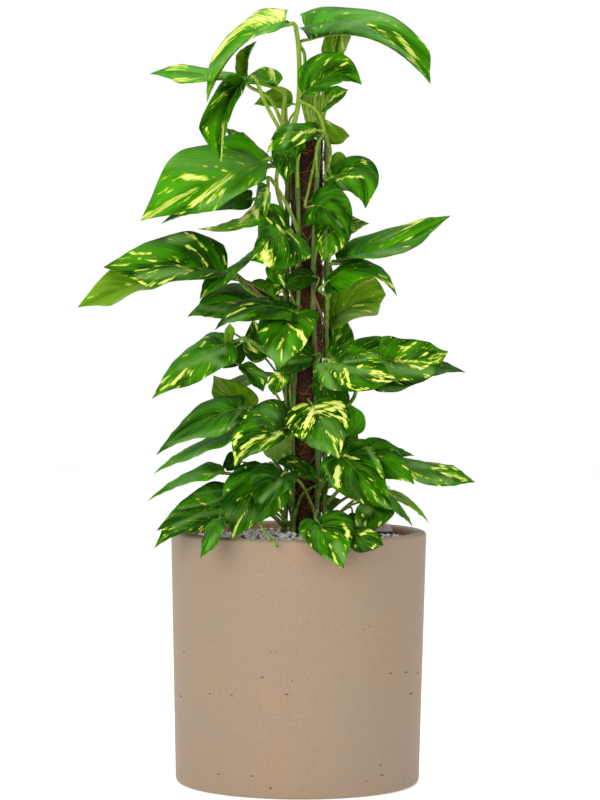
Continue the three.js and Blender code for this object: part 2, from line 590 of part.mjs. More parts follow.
// A far leaf in the form of the other rows, flat across its midrib.
function farRow([name, degrees, height, length, drop]) {
  const angle = THREE.MathUtils.degToRad(degrees);
  const out = (share, sag) => {
    const reach = FAR.reach + share * length;
    return [POLE.x + reach * Math.cos(angle), height - sag * drop, reach * Math.sin(angle)];
  };
  const edge = (sign, share, narrow) => {
    const [x, z] = out(share, share * share);
    const side = sign * EDGE.halfWidth * length * narrow;
    return [x + side * Math.sin(angle), z, -Math.sign(side * Math.cos(angle))];
  };
  const base = [out(0, 0), out(0.55, FAR.sag), out(FAR.span, 1)];
  const edges = [1, -1].flatMap((sign) => [
    edge(sign, EDGE.broadest, 1),
    edge(sign, EDGE.narrower, EDGE.narrowing),
  ]);
  return [name, FAR.lobes, ...base, ...edges];
}

function makeVine(name) {
  const stem = rod(vineCurve(name), () => VINE.radius, VINE.sides, vineSteps(name));
  let solid = toSolid(stem);
  LEAVES.filter((row) => row[0] === name).forEach((row) => {
    solid = solid.add(leafSolid(row, 1));
  });
  FAR_LEAVES.filter((row) => row[0] === name).forEach((row) => {
    solid = solid.add(leafSolid(farRow(row), -1));
  });
  return wholeOf(solid);
}

function vineSteps(name) {
  return Math.round((VINES[name].top - VINE.foot) / VINE.step);
}

// What stands in the granulate stands in a plain hole.
function drilledFill() {
  let fill = toSolid(makeFill());
  const poleHole = post(POLE.outer + GAP, POLE.foot - GAP, FILL.crown + 60, SIDES, POLE.x, 0);
  fill = fill.subtract(toSolid(poleHole));
  Object.keys(VINES).forEach((name) => {
    const foot = vinePoint(name, VINE.foot);
    const above = vinePoint(name, FILL.crown + 30);
    const line = new THREE.LineCurve3(foot.setZ(VINE.foot - 2), above);
    const hole = rod(line, () => VINE.radius + VINE.room, 10, 1);
    fill = fill.subtract(toSolid(hole));
  });
  const gaugeHole = post(GAUGE.tube + GAP, PLANTER.floor + 8, FILL.crown + 60, 24, GAUGE.x, GAUGE.y);
  return fill.subtract(toSolid(gaugeHole));
}

function makePole() {
  const { x, core, outer, foot, top, sides } = POLE;
  addNode("pole_core", post(core, foot + 2, top - 2, sides, x, 0), material(COLOUR.wood, 0.8));
  const sleeve = turned(
    [
      [core + GAP, foot],
      [outer, foot],
      [outer, top - 4],
      [outer - 4, top],
      [core + GAP, top],
      [core + GAP, foot],
    ],
    sides,
    x,
    0,
  );
  addNode("coir_wrap", sleeve, material(COLOUR.coir, 0.95));
}

function makeGauge() {
  const { x, y, collar, tube, bore, rod: rodRadius, top, cap } = GAUGE;
  const bed = FILL.edge + 4;
  const ring = turned(
    [
      [tube + GAP, bed],
      [collar, bed],
      [collar, bed + 6],
      [collar - 2, bed + 7],
      [tube + GAP, bed + 7],
      [tube + GAP, bed],
    ],
    24,
    x,
    y,
  );
  addNode("gauge_collar", ring, material(COLOUR.gauge, 0.4));
  const low = PLANTER.floor + 10;
  const skirt = bed + 7 + GAP;
  const sleeve = turned(
    [
      [bore, low],
      [tube, low],
      [tube, skirt],
      [collar - 2.5, skirt],
      [tube + 0.6, skirt + 11],
      [tube, skirt + 13],
      [tube, top],
      [bore, top],
      [bore, low],
    ],
    24,
    x,
    y,
  );
  addNode("gauge_sleeve", sleeve, material(COLOUR.clear, 0.1));
  const marker = skirt + 6;
  const stick = turned(
    [
      [0, low + 2],
      [rodRadius, low + 2],
      [rodRadius, marker],
      [rodRadius + 1.2, marker + 1],
      [rodRadius + 1.2, marker + 6],
      [0, marker + 6],
    ],
    12,
    x,
    y,
  );
  addNode("gauge_rod", stick, material(COLOUR.red, 0.5));
  addNode("gauge_cap", post(cap, top + GAP, top + 8, 24, x, y), material(COLOUR.gauge, 0.4));
}

addNode("planter", makePlanter(), material(COLOUR.sand, 0.85));
addNode("granulate", toGeometry(wholeOf(drilledFill())), material(COLOUR.pebble, 0.9));
makePole();
Object.keys(VINES).forEach((name) => {
  addNode("vine_" + name, toGeometry(makeVine(name)), material(COLOUR.leaf, 0.4));
});
makeGauge();

export default plant;
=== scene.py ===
"""A golden pothos on a coir pole, in a round sand-coloured planter with mineral granulate.

Metres, +Z up, the front towards -Y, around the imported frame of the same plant.
"""

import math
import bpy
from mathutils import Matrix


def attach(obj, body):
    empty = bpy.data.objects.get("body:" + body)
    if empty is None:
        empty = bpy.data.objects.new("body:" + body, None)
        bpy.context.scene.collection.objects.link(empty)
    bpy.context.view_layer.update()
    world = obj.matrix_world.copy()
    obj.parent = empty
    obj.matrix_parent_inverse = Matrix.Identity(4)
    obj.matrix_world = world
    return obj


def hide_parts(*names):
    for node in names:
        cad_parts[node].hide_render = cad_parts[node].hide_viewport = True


bl_info = {
    "name": "Potted golden pothos",
    "version": (1, 0, 0),
    "blender": (4, 5, 0),
    "location": "View3D > Sidebar > Pothos",
    "description": "Builds a potted golden pothos: planter, granulate, coir pole, vines and water gauge",
    "category": "Add Mesh",
}

import bpy
import numpy as np
from bpy.props import FloatProperty, IntProperty, PointerProperty, StringProperty
from mathutils import Euler, Matrix, Vector

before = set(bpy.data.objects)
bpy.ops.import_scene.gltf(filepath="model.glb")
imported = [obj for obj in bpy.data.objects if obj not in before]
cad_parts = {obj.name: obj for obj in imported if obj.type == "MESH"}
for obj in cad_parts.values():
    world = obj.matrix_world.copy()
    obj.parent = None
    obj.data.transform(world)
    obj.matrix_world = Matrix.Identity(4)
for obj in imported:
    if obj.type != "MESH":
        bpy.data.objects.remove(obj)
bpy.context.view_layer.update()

MM = 0.001

# Sizes in millimetres, as in the part's source. Shares, counts and angles are plain numbers.
GAP = 0.4
PLANTER = {"height": 395, "top": 200, "foot": 191, "wall": 22, "floor": 20, "rim": 6, "heel": 8}
FILL = {"edge": 380, "crown": 392}
POLE = {"x": 10, "core": 11, "outer": 24, "foot": 90, "top": 1008, "recess": 6, "soft": 3, "lump": 9}
VINE = {"radius": 4.4, "clear": 2.6, "foot": 345, "spread": 12, "flare": 90, "step": 5, "sides": 12}

# A vine swings round the pole as it rises, leans in above the pole's top and swells at its joints.
SWING = {"angle": 0.16, "height": 95}
LEAN = {"share": 0.5, "most": 10}
JOINT = {"apart": 58, "thinner": 0.5, "swell": 1.1, "half_width": 4.5}

# A stalk leaves its vine some way below its blade, or at least that high up; it arches, bends into
# the blade's base and tapers from a collar. The raised midrib carries it on under the blade.
STALK = {
    "radius": 2.3, "rise": 70, "lowest": 402, "below_top": 6, "arch": 0.45, "lift": 0.16, "bend": 16,
    "points": 30, "sides": 8, "taper": 0.14, "collar": 1.4, "collar_share": 0.1, "end": 0.04,
}
MIDRIB = {
    "points": 14, "sides": 6, "end": 0.9, "radius": 1.25, "least": 0.25, "depth": 0.9, "deeper": 0.5,
}

# A blade's thickness, the length under which it is meshed coarser, how far it cups and waves as
# shares of its length, and how much thinner its margin is.
BLADE = {"thickness": 0.9, "small": 85, "cup": 0.1, "wave": 0.025, "margin": 0.45}
EDGE = {"half_width": 0.36, "broadest": 0.22, "narrower": 0.68, "narrowing": 0.56, "ease": 1.5}
GAUGE = {"x": 136, "y": 80, "collar": 14, "tube": 7, "bore": 5.2, "rod": 3, "top": 452, "cap": 9}

# A blade's fine relief: the ruffle of its edge as a share of its length, and in millimetres the
# quilting between its side veins, a finer ripple on that, and the groove of its midrib.
RELIEF = {"ruffle": 0.006, "quilt": 0.7, "ripple": 0.2, "groove": 1.1, "groove_width": 0.05}

# How a blade's mesh is laid out: how its rows crowd towards the stalk, where on the outline they
# start, how its columns crowd towards the midrib, and how much coarser a small leaf is.
SHEET = {"rows": 2.6, "start": 0.1, "columns": 1.2, "small": 0.7}

# An aerial root: how far round the pole and down each of its steps goes, with the random part.
ROOT = {
    "steps": 5, "turn": 0.14, "turn_by": 0.03, "drop": 5, "drop_by": 2, "lowest": 420,
    "points": 12, "radii": (1.5, 0.5), "sides": 5,
}

# A pebble: ranges of its size against the mean, of its level against the fill and of its stretch
# along each axis, how uneven its corners are, and how far it keeps from the wall.
PEBBLE = {
    "sizes": (0.65, 1.4), "level": (-3.6, 2.0), "stretch": ((0.8, 1.35), (0.8, 1.2), (0.6, 1)),
    "uneven": 0.16, "margin": 3,
}

# The bed under the pebbles: its mesh, how far it lies below the fill, and its dark colour, which
# paints the shade in the gaps between the pebbles.
BED = {"rings": 14, "sides": 72, "below": 2.4, "shade": 0.95}

# A loose strand of coir: ranges of its foot, lean, length, lift off the felt and radius.
STRAND = {
    "foot": 372, "lean": (-1.3, 1.3), "length": (16, 60), "lift": (0.0, 2.2), "flat_share": 0.4,
    "radius": (0.25, 0.55), "points": 7, "sides": 3, "lowest": 366,
}

# The leaves are placed as seen from the front: each point is [x, z, y], where x and z are read
# on the upright plane through the pole and y is the point's depth, less towards the front.
EYE = np.array([0.7, -5200, 820])

# Half of a blade's outline, from the stalk round the lobe to the tip: [along, across].
OUTLINE = np.array([
    [0, 0],
    [-0.06, 0.22],
    [-0.07, 0.52],
    [0.02, 0.84],
    [0.22, 1],
    [0.45, 0.88],
    [0.68, 0.56],
    [0.86, 0.23],
    [1, 0],
])

# Each vine climbs at its own angle round the pole, in degrees from +X, up to its own height.
VINES = {
    "left": (185, 1010),
    "front_left": (238, 985),
    "front_right": (298, 1010),
    "right": (352, 1035),
    "back_right": (55, 1000),
    "back_left": (125, 1015),
}

# A leaf: its vine, how far its lobes reach back, and the midrib's base, middle and tip. Then
# each edge where the blade is broadest and again near the tip: an edge's third number says
# whether it leans away (1) or forward (-1). A shown stalk ends the row: the height where it
# leaves the vine, and the points it passes.
LEAVES = [
    ["left", -0.5, [-26, 1184, -20], [-99, 1148, -42], [-147, 1064, -50], [-62, 1208, 1],
      [-137, 1128, 1], [-52, 1168, -1], [-112, 1124, -1], [1002, [-5, 1060, -12],
      [-5, 1150, -14], [-9, 1178, -16]]],
    ["left", 1, [-86, 1106, 25], [-84, 1132, 28], [-70, 1159, 30],
      [-104, 1126, 1], [-94, 1144, 1], [-82, 1124, -1], [-78, 1146, -1]],
    ["left", 0, [-42, 1087, 2], [-130, 1102, -4], [-236, 1107, -4], [-77, 1097, 1],
      [-190, 1119, 1], [-80, 1094, -1], [-186, 1083, -1], [990, [-29, 1042, -4]]],
    ["front_left", 0.3, [-88, 1096, -82], [-118, 1048, -100], [-124, 969, -104],
      [-134, 1074, -1], [-157, 1020, -1], [-92, 1078, -1], [-112, 1022, -1],
      [975, [-56, 1062, -50]]],
    ["left", 0.6, [-15, 1062, 24], [-42, 1066, 30], [-74, 1060, 34],
      [-32, 1087, 1], [-58, 1077, 1], [-34, 1054, -1], [-60, 1057, -1]],
    ["right", -0.6, [11, 1162, -12], [112, 1163, -38], [201, 1094, -50], [52, 1222, 1],
      [196, 1133, 1], [44, 1184, -1], [146, 1144, -1], [1020, [8, 1080, -14], [4, 1140, -14]]],
    ["right", 0.6, [3, 1078, -34], [50, 1104, -64], [94, 1092, -88],
      [26, 1140, 1], [80, 1126, 1], [36, 1080, -1], [68, 1094, -1]],
    ["back_right", 1, [60, 1182, 34], [54, 1150, 38], [48, 1112, 40],
      [36, 1164, 1], [32, 1138, 1], [75, 1164, -1], [66, 1140, -1]],
    ["right", 0.3, [30, 1051, -2], [50, 1068, -6], [73, 1084, -6],
      [34, 1078, 1], [56, 1090, 1], [48, 1056, -1], [68, 1074, -1]],
    ["back_right", 1, [28, 1036, 24], [52, 1024, 28], [76, 1012, 28],
      [44, 1035, 1], [65, 1023, 1], [40, 1002, -1], [64, 1000, -1]],
    ["front_right", 1, [23, 1020, -80], [-16, 1012, -98], [-54, 985, -104],
      [2, 1034, 1], [-40, 1018, 1], [2, 998, -1], [-30, 988, -1]],
    ["front_left", 1, [-4, 1002, -66], [-22, 974, -80], [-22, 937, -86],
      [-44, 994, -1], [-38, 958, -1], [-2, 985, 1], [-11, 958, 1]],
    ["left", -0.4, [-51, 975, -25], [-146, 937, -52], [-250, 878, -62], [-140, 1005, 1],
      [-211, 962, 1], [-96, 915, -1], [-158, 888, -1], [872, [-38, 935, -26]]],
    ["back_left", 0.3, [-52, 977, 40], [-85, 1003, 48], [-122, 1024, 52],
      [-68, 991, 1], [-98, 1015, 1], [-78, 982, -1], [-112, 1004, -1]],
    ["left", 0.3, [-78, 912, 34], [-145, 901, 32], [-217, 874, 30],
      [-110, 924, 1], [-165, 911, 1], [-104, 894, -1], [-174, 884, -1]],
    ["front_left", 0.4, [-51, 934, -50], [-80, 874, -70], [-160, 866, -80], [-72, 908, 1],
      [-108, 876, 1], [-56, 886, -1], [-118, 860, -1]],
    ["front_left", 1.6, [-21, 863, -70], [-52, 847, -115], [-80, 817, -140], [-57, 904, -1],
      [-70, 852, -1], [12, 820, -1], [-42, 801, -1]],
    ["front_right", 1.4, [19, 903, -60], [50, 893, -82], [76, 853, -92],
      [56, 932, 1], [81, 890, 1], [10, 870, -1], [54, 866, -1],
      [1000, [19, 962, -42], [11, 922, -52]]],
    ["right", 1.3, [47, 947, -36], [90, 948, -58], [101, 899, -70], [81, 981, 1], [122, 940, 1],
      [50, 918, -1], [86, 917, -1], [1008, [36, 1012, -14], [45, 985, -30]]],
    ["right", 0.5, [42, 952, 12], [56, 970, 14], [70, 980, 14],
      [50, 983, 1], [64, 986, 1], [62, 958, -1], [70, 972, -1]],
    ["front_right", 1, [42, 882, -44], [46, 850, -54], [33, 815, -60],
      [79, 864, -1], [58, 831, -1], [21, 862, 1], [27, 834, 1]],
    ["right", 0.5, [52, 868, -10], [80, 872, -14], [107, 876, -14],
      [70, 888, 1], [92, 881, 1], [70, 857, -1], [92, 866, -1]],
    ["right", 0.4, [60, 814, -46], [140, 838, -62], [234, 889, -56], [82, 849, 1], [192, 880, 1],
      [92, 820, -1], [188, 837, -1]],
    ["right", 0.1, [42, 783, -72], [100, 804, -90], [151, 763, -98],
      [72, 812, 1], [128, 802, 1], [64, 770, -1], [112, 788, -1]],
    ["back_right", 0.5, [46, 722, 38], [92, 755, 30], [134, 764, 34],
      [56, 784, 1], [114, 794, 1], [76, 724, -1], [122, 734, -1]],
    ["left", 0.2, [-116, 797, -34], [-205, 808, -50], [-308, 805, -44], [-160, 857, 1],
      [-248, 839, 1], [-160, 792, -1], [-236, 771, -1], [742, [-84, 774, -32]]],
    ["back_left", 0.4, [-200, 786, 16], [-275, 771, 12], [-348, 742, 8], [-232, 818, 1],
      [-300, 797, 1], [-236, 774, -1], [-294, 743, -1], [745, [-92, 786, 20]]],
    ["left", 0.2, [-70, 829, -64], [-120, 791, -74], [-157, 756, -78], [-102, 808, 1],
      [-147, 788, 1], [-88, 804, -1], [-127, 770, -1]],
    ["back_left", 0.5, [-60, 754, 40], [-118, 751, 42], [-176, 729, 36],
      [-90, 781, 1], [-136, 764, 1], [-100, 727, -1], [-142, 725, -1]],
    ["back_left", 0.3, [-92, 766, 76], [-125, 764, 78], [-158, 750, 78],
      [-108, 778, 1], [-142, 771, 1], [-110, 752, -1], [-140, 750, -1]],
    ["front_left", 0.5, [-14, 738, -68], [-75, 744, -86], [-133, 708, -96],
      [-34, 756, 1], [-106, 740, 1], [-38, 724, -1], [-98, 718, -1]],
    ["back_left", 1, [-34, 752, 44], [-58, 766, 46], [-84, 774, 46],
      [-52, 785, 1], [-74, 785, 1], [-50, 750, -1], [-72, 762, -1]],
    ["front_left", 1, [-30, 797, -32], [-40, 780, -38], [-42, 758, -42],
      [-56, 784, -1], [-52, 768, -1], [-24, 780, 1], [-30, 766, 1]],
    ["front_left", 1, [-50, 808, -50], [-38, 796, -56], [-24, 777, -60],
      [-30, 812, 1], [-24, 792, 1], [-50, 790, -1], [-34, 780, -1]],
    ["front_right", 1, [20, 793, -38], [0, 790, -50], [-24, 771, -56],
      [2, 808, 1], [-20, 790, 1], [10, 776, -1], [-12, 769, -1]],
    ["front_left", 1.8, [-17, 727, -72], [-26, 698, -96], [-32, 646, -108],
      [-64, 722, -1], [-56, 676, -1], [30, 734, -1], [4, 678, -1]],
    ["left", 0.5, [-50, 668, -16], [-66, 690, -18], [-73, 727, -18],
      [-86, 670, 1], [-84, 704, 1], [-42, 692, -1], [-60, 714, -1]],
    ["left", 0.5, [-92, 651, -24], [-74, 634, -32], [-57, 612, -36],
      [-66, 652, 1], [-50, 632, 1], [-88, 640, -1], [-73, 621, -1]],
    ["left", 0.4, [-113, 688, -44], [-168, 660, -62], [-231, 600, -70], [-148, 697, 1],
      [-200, 650, 1], [-114, 652, -1], [-172, 618, -1], [655, [-64, 684, -50], [-86, 696, -52]]],
    ["left", 0.5, [-104, 690, 6], [-104, 668, 10], [-120, 648, 14],
      [-84, 672, 1], [-98, 652, 1], [-124, 672, -1], [-126, 654, -1]],
    ["left", 0.5, [-85, 582, 6], [-108, 606, 8], [-135, 637, 8],
      [-68, 608, 1], [-102, 629, 1], [-116, 582, -1], [-138, 610, -1]],
    ["left", 0.6, [-90, 585, -48], [-150, 565, -66], [-224, 512, -74],
      [-120, 605, 1], [-184, 557, 1], [-104, 554, -1], [-165, 533, -1]],
    ["left", 0.5, [-95, 545, -34], [-158, 522, -46], [-227, 483, -54], [-124, 541, 1],
      [-180, 515, 1], [-120, 532, -1], [-166, 502, -1]],
    ["left", 0.3, [-120, 484, -46], [-167, 475, -56], [-237, 440, -60], [-136, 496, 1],
      [-186, 474, 1], [-141, 479, -1], [-192, 457, -1]],
    ["left", 0.5, [-112, 436, -62], [-160, 424, -80], [-223, 393, -88],
      [-130, 468, 1], [-188, 432, 1], [-124, 412, -1], [-178, 398, -1]],
    ["left", 0.5, [-112, 414, -108], [-165, 402, -118], [-226, 366, -122],
      [-146, 424, 1], [-206, 404, 1], [-135, 398, -1], [-186, 386, -1]],
    ["front_left", 0.3, [-124, 412, -160], [-137, 386, -198], [-154, 350, -204],
      [-145, 396, 1], [-151, 372, 1], [-118, 398, -1], [-129, 367, -1]],
    ["front_left", 1.2, [-20, 555, -84], [-60, 536, -114], [-101, 493, -128],
      [-58, 597, 1], [-106, 540, 1], [-36, 530, -1], [-78, 511, -1]],
    ["front_right", 1.4, [20, 592, -100], [42, 556, -128], [63, 507, -138],
      [-20, 560, -1], [18, 525, -1], [77, 586, -1], [72, 540, -1]],
    ["right", 1, [66, 542, -8], [88, 562, -14], [78, 594, -14],
      [101, 554, 1], [99, 580, 1], [72, 564, -1], [70, 584, -1]],
    ["right", 1, [60, 540, 12], [78, 546, 12], [94, 533, 12],
      [76, 560, 1], [90, 548, 1], [72, 532, -1], [84, 530, -1]],
    ["front_left", 1, [-24, 545, -24], [-32, 526, -30], [-24, 502, -32],
      [-58, 526, 1], [-42, 506, 1], [-16, 532, -1], [-16, 512, -1]],
    ["left", 1, [-92, 502, -14], [-108, 502, -16], [-120, 494, -16],
      [-106, 518, 1], [-116, 506, 1], [-104, 488, -1], [-114, 488, -1]],
    ["front_left", 1, [-52, 490, -100], [-80, 440, -144], [-103, 380, -178],
      [-114, 474, -1], [-115, 414, -1], [-14, 444, -1], [-60, 406, -1]],
    ["front_right", 1.3, [-27, 480, -134], [-44, 456, -170], [-61, 420, -188],
      [-72, 494, -1], [-72, 446, -1], [-4, 472, -1], [-42, 438, -1]],
    ["front_left", 1, [25, 478, -48], [-5, 494, -58], [-37, 501, -62],
      [2, 508, 1], [-22, 509, 1], [8, 478, -1], [-20, 490, -1]],
    ["back_right", 1, [8, 500, 48], [28, 484, 62], [54, 462, 70],
      [36, 500, 1], [52, 478, 1], [8, 466, -1], [34, 458, -1]],
    ["front_right", 1, [66, 513, -82], [106, 472, -108], [148, 427, -120],
      [42, 472, -1], [102, 436, -1], [116, 524, -1], [139, 464, -1]],
    ["right", 0.5, [78, 520, -26], [130, 522, -38], [180, 513, -38],
      [108, 538, 1], [150, 523, 1], [104, 504, -1], [150, 505, -1]],
    ["right", 0.8, [98, 521, -60], [142, 502, -78], [181, 468, -86],
      [136, 536, 1], [168, 500, 1], [110, 478, -1], [150, 474, -1]],
    ["right", 0.4, [162, 503, -30], [215, 488, -42], [276, 472, -46],
      [194, 499, 1], [243, 494, 1], [184, 477, -1], [238, 463, -1]],
    ["back_right", 0.2, [137, 457, 6], [174, 442, 0], [203, 408, -4],
      [154, 451, 1], [186, 426, 1], [154, 446, -1], [184, 421, -1]],
    ["right", 0.2, [138, 450, -40], [160, 427, -46], [178, 402, -48],
      [150, 441, 1], [168, 418, 1], [146, 433, -1], [164, 413, -1]],
    ["right", 1, [118, 434, -66], [105, 414, -80], [86, 389, -86],
      [91, 432, -1], [87, 404, -1], [149, 420, -1], [112, 394, -1]],
    ["front_right", 1, [76, 392, -192], [106, 386, -204], [133, 372, -196],
      [98, 399, 1], [124, 391, 1], [92, 361, -1], [116, 364, -1]],
    ["front_right", 1.8, [30, 408, -170], [48, 378, -208], [70, 333, -218],
      [1, 391, -1], [36, 354, -1], [83, 414, -1], [81, 368, -1]],
    ["right", 1, [84, 423, -34], [85, 408, -36], [82, 386, -38],
      [94, 406, 1], [92, 394, 1], [72, 408, -1], [74, 394, -1]],
    ["right", 0.5, [56, 656, -56], [116, 672, -72], [178, 684, -74],
      [92, 693, 1], [148, 695, 1], [90, 638, -1], [132, 654, -1]],
    ["right", 0.5, [124, 668, -84], [180, 660, -94], [232, 677, -94],
      [150, 699, 1], [204, 691, 1], [150, 632, -1], [206, 637, -1]],
    ["front_right", 2.2, [53, 659, -114], [102, 643, -140], [151, 633, -146], [84, 685, 1],
      [130, 663, 1], [42, 619, -1], [117, 616, -1]],
    ["right", 0.5, [110, 640, -34], [186, 651, -42], [259, 644, -38], [160, 668, 1],
      [214, 659, 1], [154, 615, -1], [208, 635, -1], [560, [84, 602, -24]]],
    ["back_right", 1, [42, 664, 26], [58, 690, 28], [73, 727, 28],
      [36, 692, 1], [52, 720, 1], [82, 682, -1], [82, 708, -1]],
    ["front_right", 1, [36, 640, -40], [48, 614, -46], [60, 584, -48],
      [20, 612, -1], [42, 590, -1], [76, 612, 1], [74, 592, 1]],
    ["front_right", 1, [22, 670, -50], [-6, 660, -64], [-37, 643, -68],
      [-6, 690, 1], [-30, 664, 1], [6, 647, -1], [-20, 640, -1]],
    ["front_left", 1, [-22, 642, -44], [-34, 628, -48], [-40, 606, -50],
      [-46, 636, 1], [-48, 616, 1], [-18, 628, -1], [-30, 612, -1]],
    ["left", 0.2, [-41, 1087, 0], [-60, 1098, -4], [-82, 1106, -6], [-36, 1111, 1],
      [-62, 1118, 1], [-50, 1091, -1], [-72, 1101, -1], [985, [-24, 1040, 4]]],
    ["left", 0, [-113, 687, -46], [-111, 702, -50], [-110, 719, -50], [-104, 697, 1],
      [-103, 711, 1], [-118, 697, -1], [-117, 710, -1], [648, [-62, 678, -44], [-84, 691, -45]]],
]

# A leaf of the far side: its vine, the way it points in degrees from +X, the height of its base,
# its length and how far its tip drops.
FAR_LEAVES = [
    ["back_left", 144, 964, 126, 44],
    ["back_left", 100, 985, 96, 70],
    ["back_left", 106, 868, 134, 48],
    ["back_right", 76, 912, 104, 62],
    ["back_right", 30, 838, 132, -10],
    ["back_right", 84, 806, 90, 34],
    ["back_left", 106, 758, 130, 64],
    ["back_right", 74, 716, 98, 40],
    ["back_left", 138, 638, 140, 56],
    ["back_right", 94, 634, 94, 50],
    ["back_left", 148, 560, 118, 22],
    ["back_right", 42, 532, 136, 42],
    ["back_left", 104, 596, 86, 66],
    ["back_right", 78, 446, 110, 30],
    ["back_left", 140, 474, 124, 38],
]
FAR = {"reach": 60, "lobes": 0.6, "span": 0.86, "sag": 0.2}

# Leaves whose paler underside faces the front.
TURNED_OVER = {1, 4, 7, 9, 19, 24, 26, 40, 49, 51, 61, 76}

# Leaves rolled so far that their near half shows its upper face too.
ROLLED = {5}

# How much yellow a leaf carries, where it isn't the usual amount: the flecks grow with it.
YELLOW = {
    0: 0.03, 3: -0.04, 4: -0.1, 8: -0.02, 9: -0.05, 14: -0.06, 15: 0.08, 16: -0.02, 17: -0.12,
    18: -0.07, 20: -0.01, 21: 0.1, 23: -0.06, 24: -0.02, 25: -0.02, 26: -0.06, 30: -0.05, 34: -0.12,
    35: -0.05, 36: 0.0, 38: -0.04, 39: -0.12, 40: -0.14, 41: -0.12, 43: -0.12, 44: -0.07, 46: -0.12,
    47: -0.03, 48: -0.03, 49: -0.14, 51: -0.12, 52: -0.12, 53: -0.06, 54: -0.14, 56: -0.1, 57: -0.05,
    58: -0.08, 59: -0.08, 61: -0.1, 62: -0.12, 63: -0.06, 65: -0.05, 66: -0.12, 69: -0.01, 71: -0.01,
    72: -0.08, 73: -0.08, 74: 0.04, 75: 0.0, 76: -0.1,
}

# How light a leaf's green is, where it isn't the usual amount: 0 in the shade of the plant, about 1
# for a young leaf. Set leaf by leaf.
LIGHTNESS = {
    0: 0.8, 1: 0.6, 2: 0.8, 3: 0.45, 4: 1.3, 5: 0.6, 6: 0.45, 7: 0.9, 8: 0.6, 9: 0.65, 10: 0.3, 11: 0.3,
    12: 0.6, 13: 0.25, 15: 0.6, 16: 0.35, 17: 0.25, 18: 0.4, 19: 0.8, 22: 0.5, 23: 0.4, 24: 0.65,
    25: 0.3, 26: 0.85, 28: 0.3, 29: 0.4, 30: 0.3, 34: 0.0, 35: 0.35, 36: 0.2, 38: 0.45, 39: 0.15,
    40: 0.8, 41: 0.35, 42: 0.9, 43: 0.8, 44: 0.35, 45: 0.35, 46: 0.5, 47: 0.25, 48: 0.2, 49: 1.2,
    51: 1.1, 52: 0.05, 53: 0.2, 54: 0.05, 55: 0.2, 57: 0.3, 58: 0.3, 61: 0.95, 62: 0.6, 63: 0.25,
    64: 0.1, 65: 0.3, 66: 0.0, 67: 0.2, 68: 0.3, 69: 0.3, 70: 0.05, 72: 0.15, 73: 0.1, 75: 0.7, 76: 1.1,
}
